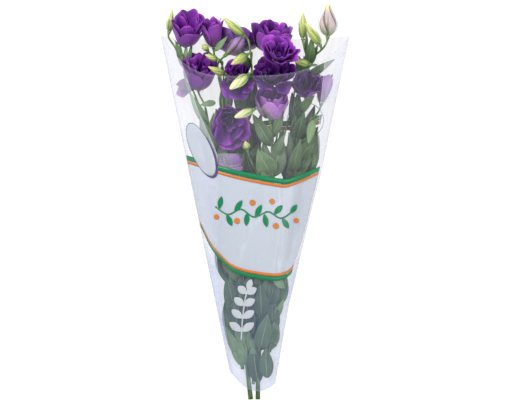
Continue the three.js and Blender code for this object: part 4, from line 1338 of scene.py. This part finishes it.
def ringPoint(u, v):
    angle = math.pi * u
    shade = oval["shadeSide"] * max(0, math.cos(angle + oval["shadeTurn"])) ** 1.5
    size = mix(1, 1 + oval["ring"] + shade, v)
    a = oval["halfWidth"] * size * math.cos(angle)
    b = oval["halfHeight"] * (1 + (size - 1) * 0.5) * math.sin(angle)
    x = oval["centre"][0] + a * math.cos(oval["tilt"]) - b * math.sin(oval["tilt"])
    y = oval["centre"][1] + a * math.sin(oval["tilt"]) + b * math.cos(oval["tilt"])
    return x, y, frontZ(x, y) + prints["ovalLift"]


def backRingPoint(u, v):
    angle, back = math.pi * u, oval["back"]
    radius = back["radius"] * (1 + back["line"] * v)
    x = back["centre"][0] + radius * math.cos(angle)
    y = back["centre"][1] + radius * math.sin(angle)
    return x, y, backZ(x, y) + prints["backLift"]


def makeOval():
    disc, ring = blankMesh(), blankMesh()
    wide, high = oval["halfWidth"], oval["halfHeight"]
    addDiscPrint(disc, oval["centre"], wide, high, oval["tilt"], prints["ovalLift"], oval["cells"])
    addSheet(ring, oval["ringCells"], 2, ringPoint)
    addSheet(ring, oval["ringCells"], 1, backRingPoint)
    bmesh.ops.remove_doubles(ring, verts=ring.verts, dist=oval["weldGap"] * mm)
    bmesh.ops.recalc_face_normals(ring, faces=ring.faces)
    finishPrint("sleeve_oval", disc, inkPale)
    finishPrint("sleeve_oval_ring", ring, inkViolet)


makeBand()
makeStripes()
makeVine()
makeSprig()
makeOval()
print("folds and print made")


# Floor, light and camera, in metres but for the camera's frame and place

stage = {
    "floorSize": 24, "floorDrop": 0.0005, "floorTone": 0.12, "floorGlow": 0.93, "skyLight": 0.5,
    # place, target, size and power of each lamp
    "key": ((-0.9, 0.9, 1.5), (0, 0.05, 0), 0.8, 28),
    "fill": ((1.2, -0.3, 1.5), (0, 0, 0), 1.2, 17),
    "frameWidth": 793.6, "centre": (-0.8, 6.2), "viewZ": 50, "lens": 85, "sensor": 36, "clip": (0.05, 50),
}


def makeFloor():
    bm = bmesh.new()
    bmesh.ops.create_grid(bm, x_segments=1, y_segments=1, size=stage["floorSize"] / 2)
    mesh = bpy.data.meshes.new("floor")
    bm.to_mesh(mesh)
    bm.free()
    floor = bpy.data.objects.new("floor", mesh)
    floor.location.z = -stage["floorDrop"]
    scene.collection.objects.link(floor)
    finish = NodeKit(
        "floor_white", 0.9, Base_Color=(*grey(stage["floorTone"]), 1),
        Emission_Color=(1, 1, 1, 1), Emission_Strength=stage["floorGlow"],
    )
    mesh.materials.append(finish.material)


def addLight(name):
    place, target, size, power = stage[name]
    light = bpy.data.lights.new(name, "AREA")
    light.size = size
    light.energy = power
    lamp = bpy.data.objects.new(name, light)
    lamp.location = place
    lamp.rotation_euler = (Vector(target) - Vector(place)).to_track_quat("-Z", "Y").to_euler()
    scene.collection.objects.link(lamp)


def makeLight():
    world = bpy.data.worlds.new("studio")
    world.use_nodes = True
    sky = world.node_tree.nodes["Background"]
    sky.inputs["Color"].default_value = (1, 1, 1, 1)
    sky.inputs["Strength"].default_value = stage["skyLight"]
    scene.world = world
    addLight("key")
    addLight("fill")


def makeCamera():
    camera = bpy.data.cameras.new("camera")
    camera.lens = stage["lens"]
    camera.sensor_width = stage["sensor"]
    camera.clip_start, camera.clip_end = stage["clip"]
    rig = bpy.data.objects.new("camera", camera)
    distance = stage["frameWidth"] * stage["lens"] / stage["sensor"]
    rig.location = Vector((*stage["centre"], stage["viewZ"] + distance)) * mm
    scene.collection.objects.link(rig)
    scene.camera = rig


makeFloor()
makeLight()
makeCamera()
scene.view_settings.view_transform = "Standard"
scene.cycles.use_denoising = True
scene.cycles.transparent_max_bounces = 40
print("stage set")
